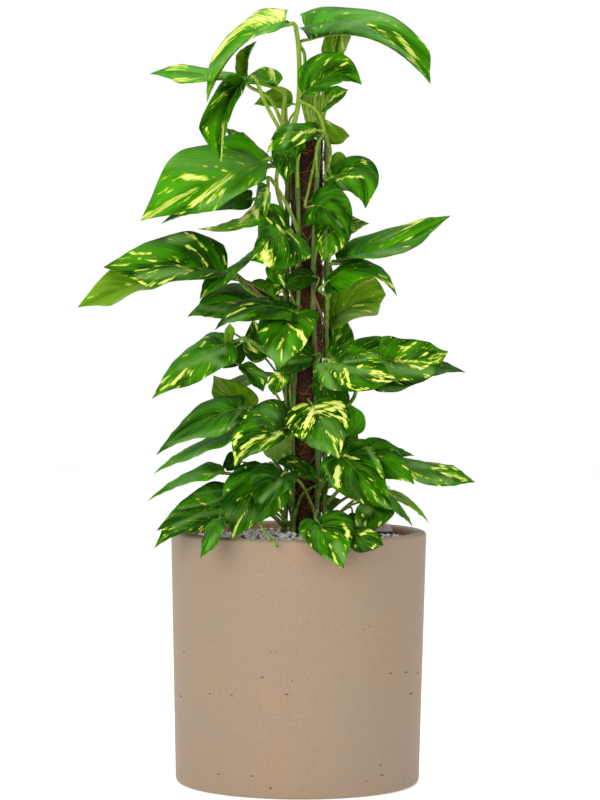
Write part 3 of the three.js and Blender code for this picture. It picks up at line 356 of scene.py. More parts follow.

# Marks read from the photograph, in its own pixels from the top left: each is the two ends
# of a stroke, its half width and, where it isn't its table's usual one, its strength.
YELLOW_STROKES = {
    0: [
        (278, 16, 248, 18, 7, 0.3), (248, 20, 222, 42, 6, 0.27), (225, 40, 208, 62, 3),
        (255, 27, 236, 34, 3, 0.2),
    ],
    2: [(165, 68, 185, 68, 3.5, 0.28), (172, 79, 198, 82, 3, 0.28), (207, 77, 235, 78, 1.5)],
    3: [(209, 106, 224, 94, 2.5), (205, 128, 207, 140, 2), (222, 125, 220, 162, 1.3)],
    5: [
        (366, 24, 380, 30, 1.5), (391, 30, 400, 40, 2), (400, 40, 411, 56, 2.8, 0.42),
        (380, 32, 392, 44, 1.3), (405, 57, 413, 61, 1.5), (425, 42, 432, 46, 4),
        (428, 50, 432, 58, 2.5), (424, 26, 428, 34, 1.5), (343, 13, 347, 15, 1), (330, 3, 336, 3, 1),
        (310, 14, 314, 12, 1.3),
    ],
    6: [(323, 65, 326, 61, 1.3), (338, 65, 344, 62, 1.3), (310, 85, 313, 80, 1.2)],
    7: [(341, 30, 339, 50, 2), (331, 35, 330, 47, 1.2)],
    8: [(322, 105, 330, 99, 1.5), (330, 97, 340, 93, 1.6), (340, 92, 346, 91, 1.3)],
    9: [(325, 121, 329, 125, 1)],
    10: [
        (292, 140, 300, 133, 2), (300, 133, 313, 130, 2.3), (275, 154, 290, 150, 1.3),
        (290, 150, 303, 140, 1.3), (269, 141, 268, 155, 2.6), (279, 143, 283, 135, 1),
    ],
    11: [(284, 174, 286, 168, 1)],
    12: [
        (142, 219, 160, 209, 3), (160, 208, 180, 197, 3.5), (180, 197, 197, 188, 2.5),
        (190, 205, 212, 190, 3), (198, 199, 230, 176, 3.8), (208, 202, 222, 190, 2.5),
        (173, 180, 205, 178, 2.2), (178, 175, 200, 176, 1), (165, 192, 173, 188, 2),
        (193, 158, 197, 158, 1), (205, 168, 216, 168, 1.2), (220, 170, 226, 171, 1),
    ],
    13: [(235, 141, 256, 157, 2.2), (232, 134, 245, 142, 2, 0.25)],
    15: [
        (266, 188, 263, 208, 1.5), (252, 208, 258, 216, 3), (240, 220, 247, 216, 2),
        (207, 221, 206, 232, 2),
    ],
    16: [
        (265, 217, 270, 223, 1), (279, 217, 283, 224, 1.1), (276, 225, 283, 232, 1.5),
        (262, 253, 268, 262, 5, 0.42), (270, 250, 273, 258, 1.5), (255, 255, 258, 258, 2),
        (262, 243, 266, 247, 1.5), (281, 238, 285, 250, 1), (288, 232, 298, 243, 1),
        (310, 246, 314, 252, 2), (313, 252, 308, 260, 2.4), (300, 232, 306, 237, 1.5),
        (308, 240, 313, 247, 1.5),
    ],
    17: [(309, 215, 312, 225, 1.5)],
    18: [
        (337, 179, 347, 176, 1.5), (347, 176, 360, 176, 1.5), (361, 160, 366, 163, 2),
        (368, 201, 370, 196, 1.2),
    ],
    20: [
        (332, 243, 337, 250, 1.3), (337, 241, 341, 247, 1.3), (331, 257, 336, 253, 1.2),
        (316, 250, 320, 258, 1.6), (318, 235, 322, 250, 2, 0.22),
    ],
    21: [(300, 262, 320, 275, 12)],
    22: [
        (404, 228, 413, 219, 1.3), (413, 222, 423, 217, 2), (403, 246, 408, 246, 1.1),
        (405, 239, 410, 237, 1),
    ],
    23: [
        (360, 277, 378, 278, 1.4), (380, 279, 392, 285, 2.2), (378, 275, 388, 276, 1.5),
        (372, 266, 372, 267, 1),
    ],
    24: [
        (352, 305, 362, 304, 1.1), (360, 310, 370, 310, 1.3), (378, 304, 381, 302, 1),
        (334, 299, 335, 300, 1.5), (342, 303, 343, 304, 1.1),
    ],
    25: [
        (186, 233, 194, 238, 2), (130, 254, 148, 254, 1.5), (148, 255, 156, 260, 1.3),
        (138, 259, 150, 261, 1.3), (150, 261, 157, 267, 1.6), (113, 266, 128, 265, 1.3),
        (145, 244, 150, 246, 1.3), (178, 266, 192, 271, 1.3), (183, 274, 192, 271, 1.3),
        (137, 273, 142, 272, 1), (145, 274, 158, 270, 1.1), (134, 283, 145, 283, 2),
        (137, 284, 145, 288, 2.5), (148, 286, 172, 279, 1.1), (172, 255, 178, 261, 1),
        (184, 245, 188, 248, 1.3), (201, 245, 207, 251, 1), (202, 260, 208, 267, 1),
        (223, 256, 225, 264, 1),
    ],
    26: [(125, 284, 134, 284, 2), (82, 300, 97, 296, 1.2), (115, 305, 145, 293, 1)],
    27: [(206, 290, 202, 298, 1.1)],
    28: [(228, 302, 245, 304, 1.2)],
    30: [(227, 316, 245, 307, 1.1), (240, 306, 252, 303, 1.1)],
    32: [(275, 285, 283, 280, 2), (276, 293, 284, 288, 1.5)],
    33: [(279, 275, 285, 288, 1.2)],
    35: [
        (288, 324, 299, 332, 1.6), (299, 332, 306, 340, 2.4), (306, 340, 302, 349, 2.3),
        (288, 332, 295, 338, 1.3), (277, 349, 283, 339, 1.8), (293, 346, 297, 349, 1.3),
        (281, 350, 281, 362, 1), (258, 332, 266, 328, 1),
    ],
    36: [(253, 320, 257, 327, 1.5), (252, 367, 258, 363, 1.5), (247, 340, 256, 350, 3, 0.16)],
    37: [(262, 379, 263, 383, 1)],
    38: [
        (160, 390, 175, 381, 1.5), (172, 384, 188, 369, 2.2), (189, 371, 192, 373, 2),
        (160, 383, 170, 376, 1.1), (155, 393, 152, 397, 1), (183, 357, 187, 355, 1.3),
        (201, 346, 204, 343, 1.3),
    ],
    41: [(224, 429, 228, 428, 1), (189, 418, 190, 418, 1)],
    42: [(183, 447, 190, 444, 1.7), (175, 452, 183, 447, 1), (171, 462, 172, 464, 1)],
    43: [(203, 474, 220, 475, 1)],
    44: [(197, 501, 206, 504, 1.1), (168, 520, 176, 520, 1)],
    45: [
        (165, 536, 167, 537, 1.3), (163, 530, 170, 529, 1.2), (172, 528, 175, 527, 1),
        (160, 536, 160, 532, 1.1),
    ],
    47: [
        (234, 444, 239, 434, 2.5), (242, 448, 252, 440, 2.4, 0.45), (252, 440, 264, 435, 2.2, 0.45),
        (262, 446, 268, 440, 2), (268, 440, 275, 437, 2), (274, 432, 279, 434, 2),
        (279, 431, 286, 436, 1.5), (235, 464, 238, 456, 2), (238, 456, 247, 450, 1.8),
        (234, 452, 236, 458, 1.5), (253, 413, 254, 414, 1.3), (245, 417, 246, 417, 1.4),
        (255, 417, 255, 418, 1.1), (257, 428, 258, 428, 1.3), (266, 426, 266, 427, 1),
        (240, 423, 241, 423, 1), (259, 450, 260, 451, 1), (245, 445, 262, 437, 4, 0.14),
    ],
    48: [
        (294, 408, 307, 403, 2), (303, 414, 309, 407, 1.1), (288, 425, 294, 414, 1.8),
        (289, 430, 289, 424, 1.5), (306, 424, 312, 410, 3.2, 0.45), (300, 429, 305, 421, 1.8),
        (308, 431, 313, 419, 2.6), (303, 439, 308, 430, 2.2), (290, 432, 296, 435, 1.8),
        (296, 437, 299, 432, 1.2), (313, 407, 330, 402, 2), (330, 402, 340, 401, 2),
        (316, 411, 330, 409, 2.2), (330, 409, 343, 404, 2.5, 0.45), (340, 408, 346, 416, 2.6, 0.45),
        (346, 416, 346, 425, 1.6), (330, 413, 343, 418, 1.5), (318, 416, 330, 416, 1.6, 0.27),
        (334, 442, 339, 456, 1.7), (333, 434, 338, 440, 1.2), (326, 430, 335, 440, 1),
        (342, 440, 341, 452, 1), (295, 425, 310, 440, 5, 0.1),
    ],
    51: [(284, 454, 286, 459, 2, 0.6)],
    53: [
        (246, 512, 240, 520, 1.3), (240, 520, 236, 530, 1.5), (236, 528, 233, 537, 2.2),
        (228, 516, 228, 518, 1.4), (234, 513, 235, 513, 1), (237, 500, 238, 500, 1.3),
        (252, 493, 253, 493, 1.3), (245, 466, 246, 467, 1.3), (228, 490, 229, 491, 1.2),
        (280, 499, 282, 508, 1.8), (290, 488, 292, 495, 1.3), (245, 532, 260, 524, 1),
    ],
    55: [(289, 461, 297, 461, 1)],
    57: [
        (338, 467, 337, 476, 3, 0.7), (337, 476, 338, 485, 2.6, 0.7), (345, 454, 354, 457, 1.5),
        (354, 457, 362, 458, 0.9), (370, 478, 377, 480, 1.3), (379, 466, 383, 478, 1.2),
        (377, 459, 379, 462, 1), (373, 489, 378, 500, 1.3), (353, 490, 354, 493, 1),
        (350, 499, 361, 501, 1.7), (385, 498, 386, 503, 1.1),
    ],
    59: [
        (379, 454, 382, 455, 1.2), (402, 464, 407, 467, 1.3), (396, 479, 403, 478, 1.2),
        (403, 478, 414, 484, 1.3),
    ],
    60: [
        (408, 471, 416, 477, 1.6), (413, 471, 422, 475, 1.5), (422, 475, 429, 478, 1.4),
        (441, 464, 447, 468, 1.3), (433, 467, 438, 467, 1.1), (443, 472, 451, 475, 1.8),
        (455, 474, 467, 479, 1.6), (453, 466, 458, 468, 1.3), (447, 461, 452, 463, 1),
        (422, 484, 440, 485, 1), (440, 479, 441, 479, 1), (446, 482, 447, 482, 1),
        (436, 466, 455, 474, 4, 0.12),
    ],
    61: [(388, 491, 396, 496, 1.5)],
    63: [
        (363, 514, 364, 515, 1), (365, 521, 366, 525, 1.3), (380, 523, 384, 520, 1.6),
        (357, 519, 361, 534, 1),
    ],
    64: [
        (361, 534, 366, 532, 1.3), (367, 530, 374, 531, 1.6), (357, 545, 359, 546, 1.1),
        (372, 549, 376, 544, 1),
    ],
    65: [
        (343, 523, 349, 529, 2), (349, 529, 349, 543, 1.3), (338, 534, 348, 537, 3, 0.24),
        (323, 529, 327, 531, 1.3), (333, 536, 337, 536, 1.6, 0.2), (304, 530, 304, 531, 1.1),
        (307, 531, 308, 531, 1.1), (331, 544, 332, 547, 1.1), (334, 553, 336, 557, 1.6),
        (335, 558, 339, 563, 1.3), (341, 566, 343, 569, 1.6), (346, 544, 348, 548, 1.1),
    ],
    66: [(357, 514, 358, 515, 1)],
    67: [
        (356, 347, 362, 348, 1.1), (381, 345, 386, 341, 1.4), (366, 358, 374, 353, 1.6),
        (350, 345, 351, 346, 1),
    ],
    68: [
        (400, 360, 412, 360, 1.8), (412, 360, 432, 361, 1.8), (412, 364, 420, 367, 1.6),
        (420, 367, 428, 364, 1.5), (395, 360, 400, 358, 1.1), (398, 357, 406, 353, 1.4),
        (405, 350, 408, 346, 1), (401, 347, 404, 346, 1.1), (412, 343, 416, 342, 1.1),
        (424, 346, 427, 347, 1.1), (420, 355, 427, 351, 1.3), (430, 357, 440, 356, 1.8),
        (430, 359, 438, 360, 1.3), (437, 352, 446, 352, 1), (396, 379, 415, 377, 1),
        (424, 375, 428, 374, 1), (400, 345, 412, 346, 1, 0.3),
    ],
    69: [
        (345, 368, 346, 375, 2), (340, 372, 343, 384, 1.8), (347, 372, 350, 385, 1.4),
        (335, 373, 335, 376, 1), (372, 370, 378, 370, 2), (378, 370, 385, 373, 1.3),
        (373, 378, 379, 380, 2), (380, 373, 382, 380, 1.5), (385, 375, 393, 376, 1.3),
        (386, 380, 393, 380, 1.3), (358, 366, 362, 364, 1.1), (360, 388, 367, 388, 1.8),
        (333, 389, 342, 392, 1), (372, 374, 388, 378, 4, 0.12),
    ],
    71: [
        (331, 327, 333, 333, 1.4), (336, 338, 341, 334, 1.1), (341, 325, 346, 320, 1.3),
        (321, 342, 322, 354, 1.2),
    ],
    73: [(300, 354, 304, 356, 1.1)],
    74: [(276, 372, 283, 380, 2.5), (268, 383, 273, 378, 1.6)],
    75: [(268, 68, 272, 82, 3), (256, 68, 262, 68, 2)],
}

# Painted sheen: grey-green, silky bands where the wax reflects the white light, read in the same way.
PAINTED_SHEEN_STROKES = {
    0: [(262, 35, 228, 55, 3), (228, 55, 206, 74, 3)],
    5: [(340, 25, 380, 18, 3), (380, 18, 398, 20, 3)],
    7: [(345, 35, 343, 55, 3)],
    8: [(325, 106, 343, 99, 2)],
    10: [(290, 123, 283, 145, 2.5)],
    12: [(170, 162, 245, 162, 9, 0.5), (200, 206, 245, 192, 4)],
    15: [(210, 225, 240, 220, 2)],
    17: [(336, 220, 341, 226, 1.5), (335, 235, 345, 240, 4, 0.4)],
    18: [(335, 178, 345, 190, 2)],
    20: [(325, 230, 325, 255, 1.3)],
    22: [(380, 240, 398, 230, 2), (375, 252, 410, 248, 3)],
    24: [(340, 315, 380, 311, 4)],
    25: [(140, 277, 185, 272, 4), (170, 240, 190, 238, 4)],
    26: [(115, 303, 145, 290, 3)],
    28: [(200, 307, 225, 310, 3), (185, 305, 200, 320, 4)],
    30: [(225, 322, 245, 315, 2)],
    35: [(272, 355, 295, 362, 7)],
    37: [(247, 370, 268, 375, 2)],
    38: [(180, 368, 225, 350, 3), (205, 355, 222, 365, 4)],
    40: [(216, 378, 223, 390, 2.5)],
    41: [(170, 445, 215, 432, 3), (215, 432, 235, 424, 3), (245, 405, 232, 422, 1)],
    42: [(178, 462, 205, 452, 3.5)],
    43: [(172, 488, 200, 474, 3.5), (200, 475, 215, 474, 1.5)],
    44: [
        (195, 494, 222, 490, 1.3), (205, 505, 222, 498, 1.3), (180, 508, 200, 505, 1.3),
        (170, 516, 185, 514, 2), (175, 521, 190, 518, 1.5),
    ],
    45: [(175, 527, 200, 515, 2.5), (200, 515, 222, 511, 2.8)],
    46: [(208, 549, 217, 535, 2)],
    47: [(250, 453, 262, 448, 1.5), (265, 410, 275, 415, 5, 0.3)],
    48: [(325, 425, 340, 438, 8, 0.35), (312, 442, 334, 452, 5, 0.35)],
    51: [(268, 451, 282, 445, 8, 0.6)],
    53: [(230, 514, 255, 516, 7, 0.3)],
    54: [(262, 500, 280, 482, 3)],
    57: [(380, 500, 392, 508, 2), (368, 447, 382, 468, 2), (325, 465, 337, 490, 1.5)],
    60: [(405, 462, 425, 465, 3), (415, 478, 450, 480, 4)],
    61: [(395, 497, 408, 500, 2)],
    63: [(358, 505, 370, 510, 4), (360, 520, 362, 530, 2)],
    65: [(338, 545, 346, 560, 4), (325, 556, 338, 564, 2)],
    67: [(335, 362, 365, 358, 2), (365, 358, 378, 352, 2.2), (378, 352, 405, 343, 1.6)],
    68: [(390, 368, 430, 370, 5)],
    69: [
        (345, 361, 365, 358, 1.5), (365, 358, 380, 351, 1.8), (315, 358, 330, 362, 6),
        (318, 362, 335, 392, 4.5), (335, 366, 375, 372, 3.5), (380, 352, 396, 378, 2),
    ],
    70: [(382, 388, 415, 388, 2.5)],
    73: [(290, 362, 310, 358, 2)],
    75: [(256, 72, 258, 86, 5)],
}

# Areas in the plant's own shade, read in the same way.
DARK_STROKES = {
    0: [(280, 14, 288, 24, 3)],
    2: [(160, 71, 200, 75, 1.3)],
    3: [(205, 82, 240, 95, 7)],
    5: [(306, 37, 345, 32, 3, 0.7)],
    7: [(335, 30, 335, 54, 2.5)],
    11: [(275, 160, 300, 165, 6)],
    22: [(330, 255, 370, 268, 6)],
    25: [(140, 268, 185, 262, 3)],
    43: [(205, 464, 215, 470, 4)],
    45: [(200, 524, 225, 521, 4)],
    47: [(262, 420, 285, 425, 6, 0.4)],
    48: [(310, 403, 320, 425, 2.2), (296, 408, 300, 420, 3)],
    53: [(238, 465, 265, 458, 7)],
    54: [(258, 460, 285, 470, 10)],
    57: [(345, 446, 375, 450, 5), (347, 450, 385, 478, 1.5, 0.5)],
    64: [(353, 543, 355, 545, 2.5, 1.5)],
    65: [(318, 520, 325, 530, 3)],
    67: [(336, 350, 352, 362, 9)],
    69: [(338, 352, 354, 362, 7, 0.6), (330, 360, 337, 388, 2, 0.4)],
    72: [(315, 395, 340, 385, 6)],
}

# The photograph's scale in millimetres to a pixel, the column of x = 0 and the height of its top row.
PHOTO = {"mm": 1.565, "middle": 300, "level": 1224}

# How strongly the strokes show, and the least half width that the mesh can show.
STROKE = {"yellow": 0.36, "sage": 0.75, "dark": 0.55, "least": 1.25}

# A leaf's usual yellow and lightness, and how its lightness becomes the share of the fresh green.
TONE = {"yellow": -0.03, "lightness": 0.4, "gain": 1.3, "less": 0.2}

# Stalks that stand out: their radius and how pale they are.
STOUT = {
    0: (4.2, 0.9), 1: (3.2, 0.8), 2: (3.6, 0.9), 3: (3.4, 0.9), 5: (3.1, 0.25), 12: (3.6, 0.7),
    48: (1.6, 0.1), 75: (3.4, 0.85),
}

# The other stalks: how they thicken with their leaf's length, and grow paler with height.
USUAL_STALK = {
    "thin": 0.55, "thicker": 0.0058, "pale_from": 750, "pale_over": 300, "pale": 0.6, "chance": 0.35,
}

# Dry brown stalks: the vine that carries each, its radius and its path as readings of x, z and y.
DRY_STALKS = [
    ("front_right", 2.2, [[18, 774, -42], [30, 742, -46], [42, 708, -52]]),
    ("front_left", 2.0, [[-104, 800, -60], [-80, 780, -56], [-50, 752, -50], [-22, 728, -38]]),
]

# Bare green stalks: the vine that carries each, its radius, how pale it is and its path.
GREEN_STALKS = [
    ("front_left", 2.0, 0.0, [
        [-56, 412, -60], [-61, 408, -150], [-60, 402, -194], [-46, 382, -207], [-32, 368, -208],
    ]),
    ("front_right", 2.8, 0.15, [
        [22, 1034, -34], [26, 1025, -40], [44, 998, -46], [46, 981, -46], [43, 962, -40],
        [48, 948, -30],
    ]),
]

# The pale sheaths at the top: how many folds they show, the x range and height of both ends, their
# depth and how far their middle bulges forward, and the radius of a fold and how it grows.
SHEATH = {
    "folds": 7, "low": (12, 30, 1022), "high": (0, 41, 1082), "depth": -4, "bulge": 5,
    "radius": 2.6, "grows": 2.0, "light": (0.35, 0.4), "points": 12, "sides": 8,
}

# Small pits in the planter's cast face, drawn as spots of painted shadow: x and z as seen from the front,
# width and height.
PITS = [
    (-17.8, 136.5, 7.0, 2.2), (-179, 203, 2.4, 2.0), (-43, 202, 2.4, 1.6), (-34, 203, 2.0, 1.6),
    (-183.8, 133, 3.0, 2.6), (-138, 136.5, 3.0, 2.0), (-104, 135, 3.4, 2.2), (-56, 163, 5.0, 1.8),
    (-9, 157, 2.4, 1.8), (146, 171, 5.0, 2.0), (170, 173, 5.4, 2.4), (188, 172, 2.4, 2.6),
    (178, 139.5, 5.6, 2.6), (131, 25.5, 2.8, 2.6), (133, 10, 6.0, 2.0), (109, 0, 2.6, 2.0),
    (-42, -12, 5.0, 2.6), (-124, 10, 5.0, 1.6), (-72, 7, 6.0, 1.6), (112, 245, 2.4, 1.8),
    (102, 239, 2.4, 1.8),
]

# A pit's corners, how far it stands off the face, and how far in its back edge is drawn.
PIT = {"corners": 10, "proud": 0.12, "back": 0.994}

# The side veins on each half of a leaf, and how far towards the tip they lean by the edge.
VEINS = 9
SLANT = 0.15

# The streaks in a leaf's colour: how many fit along the leaf and across a half of it, a number
# that parts one kind from another, and their detail.
STREAKS = {
    "coarse": (21.0, 1.7, 0.0, 3.0),
    "flecks": (70.0, 6.0, 3.0, 2.0),
    # Fine streaks along the side veins: a real relief, and painted light and shade of the quilting in the
    # upper face's colour.
    "quilt_relief_and_painted_light": (90.0, 1.3, 5.0, 2.0),
    "clouds": (6.0, 1.2, 9.0, 2.0),
    # Painted sheen: a faint random veil of grey-green, the wax's reflection of the white light.
    "sage": (8.0, 0.9, 13.0, 1.0),
}

# The share of the white backdrop's light that falls on the plant, and the soft lights: name,
# place and size in metres, and power in watts.
AMBIENT = 0.55
SOFTBOXES = (
    ("Key softbox", (-2.0, -3.2, 1.9), 3.0, 96),
    ("Fill softbox", (2.3, -2.4, 1.5), 1.8, 24),
    ("Top softbox", (0.2, 0.4, 3.2), 1.2, 30),
)
LIGHT_AIM = (0, 0, 0.75)

# The floor's size in metres and its glow. The camera's lens in millimetres, its tilt down and its
# roll in degrees, and its reach in metres: with EYE, these were fitted to the planter's edges as
# measured in the photograph, at a chosen distance of 5.2 m.
FLOOR = {"size": 16, "glow": 0.45}
CAMERA = {"lens": 149.6, "tilt": 2.43, "roll": 0.35, "far": 50}


class PothosSizes(bpy.types.PropertyGroup):
    """How finely the plant's pieces are made"""

    planter_sides: IntProperty(
        name="Planter sides", description="Facets round the planter", default=160, min=32
    )
    rows: IntProperty(name="Leaf rows", description="Faces along a leaf", default=42, min=6)
    columns: IntProperty(
        name="Leaf columns", description="Faces from a leaf's midrib to its edge", default=15, min=3
    )
    pebbles: IntProperty(name="Pebbles", description="Pebbles on the granulate", default=3300, min=100)
    pebble_size: FloatProperty(
        name="Pebble size", description="Mean size of a pebble", default=7.0 * MM, unit="LENGTH"
    )
    fibres: IntProperty(name="Fibres", description="Loose fibres on the coir", default=1500, min=0)


class PothosColours(bpy.types.PropertyGroup):
    """The plant's colours, as sRGB hex values"""

    stone: StringProperty(name="Stone", description="Cast fibre stone of the planter", default="#937d66")
    stone_grey: StringProperty(name="Grey stone", description="Its greyer clouds", default="#8e7d6b")
    leaf_deep: StringProperty(name="Deep green", description="Leaf green in the shade", default="#003000")
    leaf_fresh: StringProperty(name="Fresh green", description="Green of a young leaf", default="#449a02")
    leaf_lime: StringProperty(name="Lime", description="Greener part of a yellow mark", default="#aecb2c")
    leaf_cream: StringProperty(name="Cream", description="Palest part of a yellow mark", default="#e6e78c")
    leaf_under: StringProperty(name="Underside", description="Underside of a leaf", default="#6c9a18")
    stalk: StringProperty(name="Stalk", description="Leaf stalks", default="#86a52c")
    stem: StringProperty(name="Stem", description="Climbing stems", default="#436818")
    coir: StringProperty(name="Coir", description="Coconut fibre", default="#7e4418")


def linear(hex_colour):
    """An sRGB hex colour as linear red, green, blue and alpha."""
    parts = [int(hex_colour[i : i + 2], 16) / 255 for i in (1, 3, 5)]
    return tuple(c / 12.92 if c <= 0.04045 else ((c + 0.055) / 1.055) ** 2.4 for c in parts) + (1.0,)


def add_node(tree, kind, inputs=None, **settings):
    """Adds a node with its settings; an input is a value or the socket that feeds it."""
    made = tree.nodes.new(kind)
    for name, value in settings.items():
        setattr(made, name, value)
    for key, value in (inputs or {}).items():
        if isinstance(value, bpy.types.NodeSocket):
            tree.links.new(value, made.inputs[key])
        else:
            made.inputs[key].default_value = value
    return made


def sums(tree, operation, *values, clamp=False):
    """The result of one sum on values or sockets."""
    inputs = dict(enumerate(values))
    return add_node(tree, "ShaderNodeMath", inputs, operation=operation, use_clamp=clamp).outputs[0]


def step(tree, value, low, high, to_low=0.0, to_high=1.0):
    """A smooth step of a socket's value."""
    inputs = {"Value": value, "From Min": low, "From Max": high, "To Min": to_low, "To Max": to_high}
    return add_node(tree, "ShaderNodeMapRange", inputs, interpolation_type="SMOOTHSTEP").outputs[0]


def blend(tree, share, first, second):
    """Mixes two colours, each a socket or a linear colour."""
    inputs = {0: share, 6: first, 7: second}
    return add_node(tree, "ShaderNodeMix", inputs, data_type="RGBA").outputs[2]


def vector(tree, x, y, z):
    """Three values or sockets as one vector."""
    return add_node(tree, "ShaderNodeCombineXYZ", {0: x, 1: y, 2: z}).outputs[0]


def noise(tree, place, scale, detail=2.0, roughness=0.5):
    """The level of a soft noise at a place; scale counts its cells to a unit of the place."""
    inputs = {"Vector": place, "Scale": scale, "Detail": detail, "Roughness": roughness}
    return add_node(tree, "ShaderNodeTexNoise", inputs).outputs[0]


def attribute(tree, name):
    """A value that the mesh carries at its points."""
    return add_node(tree, "ShaderNodeAttribute", attribute_name=name).outputs["Fac"]


def object_place(tree):
    """The place on the piece, in metres."""
    return add_node(tree, "ShaderNodeTexCoord").outputs["Object"]


def cells(size):
    """How many of a pattern's cells, of a size in millimetres, make a metre."""
    return 1 / (size * MM)


def new_material(name, **plain):
    """A material whose surface is one Principled shader; plain holds its uniform values."""
    made = bpy.data.materials.new(name)
    made.use_nodes = True
    tree = made.node_tree
    tree.nodes.clear()
    inputs = {key.replace("_", " "): value for key, value in plain.items()}
    shader = add_node(tree, "ShaderNodeBsdfPrincipled", inputs)
    add_node(tree, "ShaderNodeOutputMaterial", {"Surface": shader.outputs[0]})
    return made, tree, shader


def stretched(tree, across, along):
    """Object coordinates for a grain whose cells are longer in height; both sizes in millimetres."""
    scale = (cells(across), cells(across), cells(along))
    return add_node(tree, "ShaderNodeMapping", {0: object_place(tree), 3: scale}).outputs[0]


def finish(tree, shader, colour, roughness, bump=None, depth=0.0005, strength=0.6):
    """Feeds a shader its colour, its roughness and the relief of its surface."""
    for name, value in (("Base Color", colour), ("Roughness", roughness)):
        if isinstance(value, bpy.types.NodeSocket):
            tree.links.new(value, shader.inputs[name])
        else:
            shader.inputs[name].default_value = value
    if bump is not None:
        inputs = {"Strength": strength, "Distance": depth, "Height": bump}
        relief = add_node(tree, "ShaderNodeBump", inputs)
        tree.links.new(relief.outputs[0], shader.inputs["Normal"])


def streaks(tree, slanted, across, seed, kind):
    """Streaks that run along the side veins; a leaf's seed moves them."""
    along_leaf, across_half, shift, detail = STREAKS[kind]
    x = sums(tree, "MULTIPLY_ADD", slanted, along_leaf, sums(tree, "MULTIPLY", seed, 31.0 + shift))
    y = sums(tree, "MULTIPLY", across, across_half)
    z = sums(tree, "MULTIPLY", seed, 7.0 + shift)
    return noise(tree, vector(tree, x, y, z), 1.0, detail)


def yellow_share(tree, coarse, flecks):
    """Where a leaf is yellow, and where its yellow is palest: the leaf's own amount and strokes,
    broken up by the streaks."""
    field = sums(tree, "MULTIPLY_ADD", coarse, 0.95, -0.4)
    field = sums(tree, "MULTIPLY_ADD", flecks, 0.85, field)
    field = sums(tree, "ADD", field, attribute(tree, "gold"))
    return step(tree, field, 0.645, 0.74), step(tree, field, 0.7, 0.95)


def leaf_pattern(tree, colours):
    """What both faces of a leaf share: the green and yellow colour, its veins and its midrib."""
    blade = add_node(tree, "ShaderNodeUVMap", uv_map="Blade").outputs[0]
    place = add_node(tree, "ShaderNodeSeparateXYZ", {0: blade})
    along, across = place.outputs[0], place.outputs[1]
    seed = attribute(tree, "seed")
    reach = sums(tree, "ABSOLUTE", across)
    slanted = sums(tree, "MULTIPLY_ADD", reach, -SLANT, along)
    streak = {kind: streaks(tree, slanted, across, seed, kind) for kind in STREAKS}
    gold, pale = yellow_share(tree, streak["coarse"], streak["flecks"])
    yellow = blend(tree, pale, linear(colours.leaf_lime), linear(colours.leaf_cream))
    clouds = sums(tree, "SUBTRACT", streak["clouds"], 0.5)
    light = sums(tree, "MULTIPLY_ADD", clouds, 2.2, attribute(tree, "light"), clamp=True)
    turns = sums(tree, "FRACT", sums(tree, "MULTIPLY", slanted, float(VEINS)))
    ridge = sums(tree, "ABSOLUTE", sums(tree, "SUBTRACT", turns, 0.5))
    vein = step(tree, ridge, 0.44, 0.5)
    midrib = step(tree, reach, 0.0, 0.045, 1.0, 0.0)
    # Painted sheen: grey-green where the wax reflects the white light, a faint random veil and the
    # strokes.
    sage = step(tree, streak["sage"], 0.5, 0.68)
    sage = sums(tree, "MULTIPLY_ADD", sage, 0.12, attribute(tree, "sage"), clamp=True)
    return {
        "gold": gold, "yellow": yellow, "light": light, "vein": vein, "midrib": midrib,
        "ridge": ridge, "quilt_relief_and_painted_light": streak["quilt_relief_and_painted_light"], "sage": sage, "fine": streak["flecks"],
    }


def leaf_upper_material(colours):
    """Waxy upper face of a living leaf: a smooth cuticle over green tissue, with sunken veins."""
    made, tree, shader = new_material(
        "waxy_pothos_leaf", IOR=1.27, Specular_Tint=linear("#b4dc4c"), Subsurface_Weight=0.03,
        Subsurface_Radius=(0.5, 1.0, 0.1), Subsurface_Scale=0.0012,
    )
    part = leaf_pattern(tree, colours)
    green = blend(tree, part["light"], linear(colours.leaf_deep), linear(colours.leaf_fresh))
    # Painted sheen: the grey-green reflection of the wax is blended into the base colour.
    green = blend(tree, sums(tree, "MULTIPLY", part["sage"], 0.85), green, linear("#6d9a4c"))
    # Painted light and shade: lighter and darker streaks along the side veins stand for the quilted
    # surface catching and losing the light; the same streaks also raise its real bump.
    green = blend(tree, step(tree, part["quilt_relief_and_painted_light"], 0.5, 0.68, 0.0, 0.24), green, linear("#6fb01a"))
    green = blend(tree, step(tree, part["quilt_relief_and_painted_light"], 0.3, 0.46, 0.15, 0.0), green, linear("#0f4402"))
    green = blend(tree, sums(tree, "MULTIPLY", part["vein"], 0.2), green, linear("#4f9020"))
    colour = blend(tree, part["gold"], green, part["yellow"])
    colour = blend(tree, sums(tree, "MULTIPLY", part["midrib"], 0.5), colour, linear("#86ac3c"))
    relief = sums(tree, "MULTIPLY_ADD", part["ridge"], -1.3, sums(tree, "MULTIPLY", part["midrib"], -1.4))
    relief = sums(tree, "MULTIPLY_ADD", part["quilt_relief_and_painted_light"], 0.6, relief)
    rough = sums(tree, "MULTIPLY_ADD", part["fine"], 0.16, 0.38)
    finish(tree, shader, colour, rough, relief, 0.0014, 0.6)
    return made


